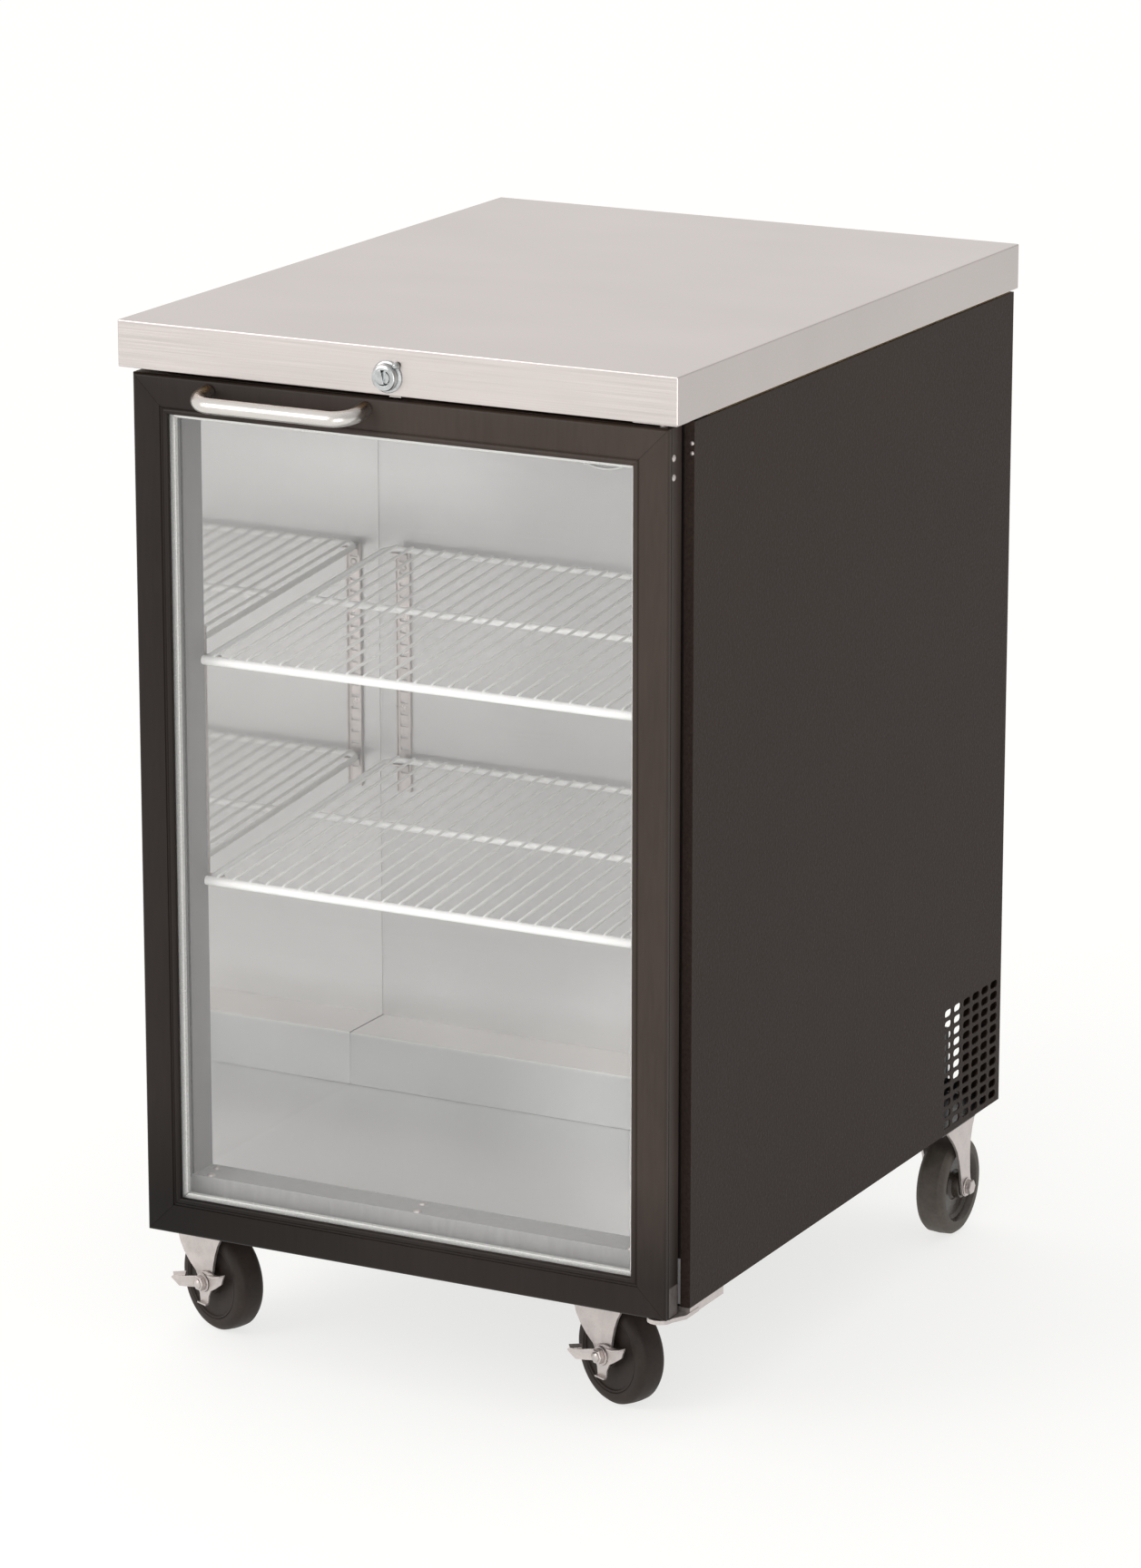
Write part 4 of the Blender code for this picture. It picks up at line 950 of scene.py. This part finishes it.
def make_inside():
    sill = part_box("liner")[0].z + 0.0012
    spots = [place(x + shift, y, 0) for x in (-0.234, -0.007, 0.22)
             for y, shift in ((0.0668, -0.003), (0.0455, 0.003))]
    make_screws("sill_rivets", "cabinet", (0, 0, 1), 0.0042, 0.0024,
                [Vector((spot.x, spot.y, sill)) for spot in spots])

    bm = bmesh.new()
    for sign in (-1, 1):
        xs = sorted((sign * 0.2495, sign * 0.2518))
        add_box(bm, place(xs[0], 0.41985, 0.782), place(xs[1], 0.4206, 0.081))
        add_box(bm, place(xs[0], 0.35285, 0.837), place(xs[1], 0.3536, 0.784))
    emit(bm, "air_panel_edges", "cabinet", ["panel_steel"])

    bm = bmesh.new()
    centre = place(0, 0.4197, FAN_DEPTH)
    for radius in (0.012, 0.022, 0.032, 0.042, FAN_RADIUS):
        bulge = 0.0085 - 0.0065 * (radius / FAN_RADIUS) ** 2
        ring = [centre + Vector((radius * cosine, -bulge, radius * sine))
                for cosine, sine in round_steps(48)]
        add_tube(bm, ring, 0.0011, 8, closed=True)
    for k in range(4):
        angle = math.pi * k / 4 + math.pi / 8
        way = Vector((math.cos(angle), 0, math.sin(angle)))
        spoke = [centre + way * 0.053 * t + Vector((0, -(0.01 - 0.0065 * t * t), 0))
                 for t in (-1.0, -0.8, -0.5, -0.2, 0.2, 0.5, 0.8, 1.0)]
        add_tube(bm, spoke, 0.0013, 8)
    emit(bm, "fan_guard", "cabinet", ["white_wire"], angle=50)


def make_lock():
    matrix = Matrix.Translation(place(LOCK_X, 0, 0.027)) @ Matrix.Rotation(math.pi / 2, 4, "X")
    bm = bmesh.new()
    face = mm((6.8, 8), (7.2, 9.2), (9.8, 9.4), (11.6, 8.6), (12.4, 7), (12.4, 2.6), (13, 2.2),
              (14.4, 2), (15.1, 1.2), (15.2, 0.3), (9.4, 0.3), (9.4, -34), (6.8, -34))
    add_lathe(bm, face, matrix, 56)
    add_dome(bm, matrix @ Vector((0.01, 0.0112, 0.0012)), (0, -1, 0), 0.0036, 0.0052)
    cover = arc((-0.0008, 0.001), 0.007, 100, 290, 14)
    add_prism(bm, cover, 0.009, 0.0102, matrix)
    emit(bm, "lock_scutcheon", "cabinet", ["lock_chrome"], ["lock_housing"], bevel=0.0005)
    bm = bmesh.new()
    for sign in (-1, 1):
        half = [(x * sign, y) for x, y in arc((0.0009, 0), 0.0054, -80, 80, 14)]
        add_prism(bm, half, 0.001, 0.0084, matrix)
    add_disc(bm, matrix, 0.0064, -0.03, 0.003, 32)
    emit(bm, "lock_core", "lock_plug", ["lock_chrome"], ["lock_plug"], bevel=0.0003)


def make_hinges():
    bm = bmesh.new()
    add_dome(bm, place(0.266, 0.02, 0.8933), (0, 0, -1), 0.0062, 0.0022)
    for y in (0.066, 0.096):
        add_dome(bm, place(0.27, y, 0.8927), (0, 0, -1), 0.0048, 0.0022)
    emit(bm, "hinge_bracket_bolts", "cabinet", ["zinc"])


# ---------------- machine bay
def make_machines():
    bm = bmesh.new()
    body = place(-0.125, 0.6, SHELL_BOTTOM - SHEET - PANEL_GAP)
    dome = mm((0, 165), (14, 164.8), (26, 162.5), (38, 157.5), (48, 150), (55, 140), (59.5, 127),
              (61.5, 112), (62, 100), (62, 87), (64, 86.2), (64, 81.8), (62, 81), (62, 44),
              (60, 30), (55, 19), (46, 11), (34, 6.8), (0, 6))
    add_lathe(bm, dome, Matrix.Translation(body), 56, closed=False)
    add_prism(bm, rounded_outline((-0.083, -0.055), (0.083, 0.055), 0.014, 5), 0.0058, 0.0088,
              Matrix.Translation(body))
    for x in (-0.068, 0.068):
        for y in (-0.042, 0.042):
            add_disc(bm, Matrix.Translation(body + Vector((x, y, 0))), 0.011, 0.0, 0.006, 20)
    box_low = body + Vector((-0.024, 0.05, 0.05))
    add_box(bm, box_low, box_low + Vector((0.048, 0.024, 0.052)))
    emit(bm, "compressor_shell", "cabinet", ["black_enamel"], ["compressor"],
         bevel=0.0012)

    bm = bmesh.new()
    start = body + Vector((0.04, 0.01, 0.1575))
    line = [start - Vector((0, 0, 0.02)), start + Vector((0, 0, 0.035)),
            start + Vector((0.04, 0.02, 0.045)), place(-0.02, 0.69, 0.662),
            place(-0.02, 0.69, 0.64)]
    add_tube(bm, rounded_path(line, 0.012, 6), 0.004, 14)
    start = body + Vector((-0.03, 0.046, 0.03))
    line = [start, start + Vector((-0.01, 0.034, 0)), place(0.02, 0.68, 0.85),
            place(0.02, 0.52, 0.85), place(0.056, 0.52, 0.85)]
    add_tube(bm, rounded_path(line, 0.012, 6), 0.0032, 14)
    emit(bm, "copper_lines", "cabinet", ["copper"], angle=50)


# ---------------- casters
def front_leg(trail):
    leading = mm((-24.5, 49), (-19, 40), (-15, 30), (-12, 19), (-10, 8))
    guard = mm((15.5, 8), (24, 15), (31.5, 23.5), (37, 32.5), (40.5, 42), (42.5, 51))
    return ([(-0.026, CROWN_TOP), (-0.026, 0.056), (-0.006, 0.0545)] + shifted(leading, trail)
            + arc((trail, 0), 0.0096, 180, 335, 10)
            + shifted(guard + [(0.043, CROWN_TOP)], trail))


def rear_leg(trail):
    leading = mm((-47.5, 70), (-44, 65.5), (-38, 60), (-30.5, 52.5), (-24, 43.5), (-19, 32.5),
                 (-14, 15))
    trailing = mm((8, 15), (7.2, 34), (8.5, 48), (12, 60), (16.5, 69))
    return (shifted([(-0.048, REAR_CROWN_TOP)] + leading, trail)
            + arc((trail, 0), 0.0105, 180, 360, 12)
            + shifted(trailing + [(0.0185, REAR_CROWN_TOP)], trail))


def make_rear_mount(name, turn):
    """Top plate of a rear caster, with the narrow race that its fork turns round."""
    bm = bmesh.new()
    add_prism(bm, rounded_outline((-0.043, -0.0265), (0.043, 0.0265), 0.004, 4),
              PLATE_TOP - 0.003, PLATE_TOP, turn)
    low = REAR_CROWN_TOP - 0.004
    race = [(0, low), (0.0118, low), (0.013, low + 0.001), (0.013, PLATE_TOP - 0.0045),
            (0.015, PLATE_TOP - 0.0028), (0, PLATE_TOP - 0.0028)]
    add_lathe(bm, race, turn, 36, closed=False)
    # Painted shade: the plate and race take the black finish, not zinc like the front plates, so
    # that they read as shade under the cabinet.
    emit(bm, name + "_mount", "cabinet", ["black_enamel"], [name + "_plate"],
         bevel=0.0006)


def make_plate_bolts(name, pivot):
    bm = bmesh.new()
    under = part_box(name + "_plate")[1].z - 0.003 - 0.0145
    for x in (-0.019, 0.019):
        for y in (-0.034, 0.034):
            spot = Matrix.Translation((pivot[0] + x, pivot[1] + y, under))
            add_disc(bm, spot, 0.0066, 0.0136, 0.0152, 18)
            add_lathe(bm, [(0, 0.0092), (0.0046, 0.0092), (0.0052, 0.0098), (0.0052, 0.0138),
                           (0, 0.0138)], spot, 6, closed=False)
    emit(bm, name + "_bolts", "cabinet", ["zinc"], angle=25)


def make_fork(name, braked, trail, turn):
    bm = bmesh.new()
    leg = front_leg(trail) if braked else rear_leg(trail)
    fold = trail + 0.0035
    folds = (fold, fold + 0.0015, fold + 0.0035, fold + 0.02) if braked else ()
    flare = 0.12 if braked else 0.0
    for sign in (1, -1):
        def bend(co, sign=sign):
            out = max(0.0, co.x - fold) * flare
            return Vector((co.x, co.y, co.z - sign * min(out, 0.0045)))
        lows = sorted((-sign * LEG_INNER, -sign * LEG_OUTER))
        add_prism(bm, leg, lows[0], lows[1], turn @ XZ, folds, bend)
    if braked:
        crown = rounded_outline((-0.028, -LEG_OUTER), (trail + 0.043, LEG_OUTER), 0.006, 4)
        add_prism(bm, crown, 0.0555, CROWN_TOP, turn)
        add_lathe(bm, [(0.0066, 0.0555), (0.0235, 0.053), (0.025, 0.0555), (0.025, 0.0592),
                       (0.0066, 0.0592)], turn, 36)
    else:
        lead, reach, bore = trail - 0.0478, trail + 0.0183, 0.0134
        for low, high in (((bore, -LEG_INNER), (reach, LEG_INNER)),
                          ((lead, bore), (bore, LEG_INNER)),
                          ((lead, -LEG_INNER), (bore, -bore))):
            add_box(bm, (*low, REAR_CROWN_TOP - 0.003), (*high, REAR_CROWN_TOP), turn)
    emit(bm, name + "_horn", name + "_swivel", ["zinc"], [name + "_fork"],
         bevel=0.0005, angle=40)


def outwards(points, start, way):
    return [(radius, start + way * height) for radius, height in points]


def make_axle(name, braked, axle):
    """Axle bolt with a washer and a nut at each end, and a cap outside the brake."""
    washer = mm((3.8, 0), (9.2, 0), (9.6, 0.4), (9.2, 1.2), (3.8, 1.2))
    nut = mm((0, 0), (7.2, 0), (7.6, 0.6), (7.6, 4.4), (6.6, 5.2), (0, 5.2))
    cap = mm((5.2, 0), (5, 1.2), (3.6, 2.4), (1.8, 3), (0, 3.2))
    bm = bmesh.new()
    near, far = (0.0248, -0.0213) if braked else (0.0213, -0.0213)
    add_disc(bm, axle, 0.0036, near + 0.003, far - 0.003, 20)
    for start, way in ((near, 1), (far, -1)):
        add_lathe(bm, outwards(washer, start, way), axle, 32)
        flat = start + way * 0.0012
        add_lathe(bm, outwards(nut, flat, way), axle, 6, closed=False)
        if braked and way > 0:
            add_lathe(bm, outwards(cap, flat + way * 0.005, way), axle, 24, closed=False)
    emit(bm, name + "_bolt", name + "_swivel", ["zinc"], [name + "_axle"], angle=28)


def make_wheel(name, braked, axle):
    half, radius = 0.015, WHEEL_RADIUS
    crown = []
    for k in range(9):
        t = -1 + k / 4
        bulge = 0.0008 * t * t if braked else 0.0007 * abs(t)
        crown.append((radius - bulge, t * (half - 0.005)))
    shoulder = [(radius - 0.0018, half - 0.0036), (radius - 0.0034, half - 0.0016),
                (radius - 0.0056, half - 0.0004), (radius - 0.008, half)]
    tread = shoulder[::-1] + crown[::-1] + [(r, -z) for r, z in shoulder]
    if braked:
        face = mm((4.5, 16.8), (12, 16.8), (13.2, 16), (14, 12.6), (35.5, 13), (36.2, 14.4),
                  (37.6, 14.7), (38.4, 14))
    else:
        face = mm((4.5, 16.8), (11, 16.8), (12.2, 16), (13.2, 9.5), (16, 6.8), (24, 5.8),
                  (32, 6.2), (35.2, 8.5), (36.8, 13.8), (37.8, 14.9))
    face.append((0.0392, half))
    profile = face + tread + [(r, -z) for r, z in face[::-1]]
    web_edge = 0.0 if braked else 0.0378
    slots = [0 if max(a[0], b[0]) > web_edge else 1
             for a, b in zip(profile, profile[1:] + profile[:1])]
    bm = bmesh.new()
    add_lathe(bm, profile, axle, 72, slots)
    looks = ["tyre_rubber", "wheel_web"] if braked else ["tyre_dusty", "web_dusty"]
    emit(bm, name + "_roller", name + "_wheel", looks, [name + "_wheel"], angle=32)


def make_caster(end, side):
    name = "caster_%s_%s" % (end, side)
    braked = end == "front"
    pivot, centre = JOINTS[name + "_turn"]["pos_m"], JOINTS[name + "_roll"]["pos_m"]
    heading = Matrix.Rotation(math.radians(156.0 if braked else 90.0), 4, "Z")
    trail = 0.036 if braked else 0.034
    turn = Matrix.Translation((pivot[0], pivot[1], WHEEL_RADIUS)) @ heading
    hub = Matrix.Translation(centre) @ heading
    axle = hub @ Matrix.Rotation(-math.pi / 2, 4, "X")
    if braked:
        make_plate_bolts(name, pivot)
    else:
        make_rear_mount(name, turn)
    make_fork(name, braked, trail, turn)
    make_axle(name, braked, axle)
    make_wheel(name, braked, axle)
    if braked:
        make_brake(name, hub)


def make_brake(name, hub):
    """Stamped lever: a body round the axle, a tongue below, a wing folded out and one along."""
    bm = bmesh.new()
    low, high = -0.0243, -0.0222
    body = mm((-14, 11.8), (-22.5, 12.5), (-34.5, 16.5), (-30, 5.5), (-19, -2), (-12, -6),
              (-8.2, -13), (-7, -21.5), (5, -21.5), (6.5, -12), (10, -7), (11.5, 3), (6, 9.5),
              (-4, 12.2))
    add_prism(bm, body, low, high, hub @ XZ)
    top_fold = mm((-14, 10.6), (-22.5, 11.2), (-34.5, 15), (-34.5, 16.6), (-22.5, 12.8),
                  (-14, 12))
    add_prism(bm, top_fold, -0.03, low + 0.0004, hub @ XZ)
    hook = mm((-8, -20), (5.6, -20), (5.6, -21.6), (-8, -21.6))
    add_prism(bm, hook, -0.028, low + 0.0004, hub @ XZ)
    start, end = Vector((0.007, 0.024, -0.001)), Vector((0.029, 0.0385, -0.004))
    along = (end - start).normalized()
    upward = Vector((0, 0, 1))
    normal = along.cross(upward).normalized()
    upward = normal.cross(along).normalized()
    wing = Matrix((along, upward, normal)).transposed().to_4x4()
    wing = Matrix.Translation(start) @ wing
    outline = mm((0, 6), (16, 5.6), (26.2, 7), (29, 5), (21.5, -4.2), (15, -5), (0, -5.8))
    add_prism(bm, outline, -0.0011, 0.0011, hub @ wing)
    lip = mm((14, 0), (26.2, 0), (29, 6), (15, 7))
    tilt = wing @ Matrix.Translation((0, 0.0058, 0)) @ Matrix.Rotation(math.radians(70), 4, "X")
    add_prism(bm, lip, -0.0008, 0.0008, hub @ tilt)
    emit(bm, name + "_lever", name + "_brake", ["zinc"], [name + "_brake"], bevel=0.0004,
         angle=35)


# ---------------- the whole scene
make_camera()
make_studio()
make_sheet_finishes()
make_small_finishes()
dress_nodes()
make_lock()
make_side_panels()
make_rear()
make_inside()
make_door()
make_hinges()
make_machines()
for shelf, shelf_depth in SHELF_DEPTHS.items():
    make_shelf(shelf, shelf_depth)
for corner in CORNERS:
    make_strip(*corner)
for corner in CORNERS:
    make_caster(*corner)
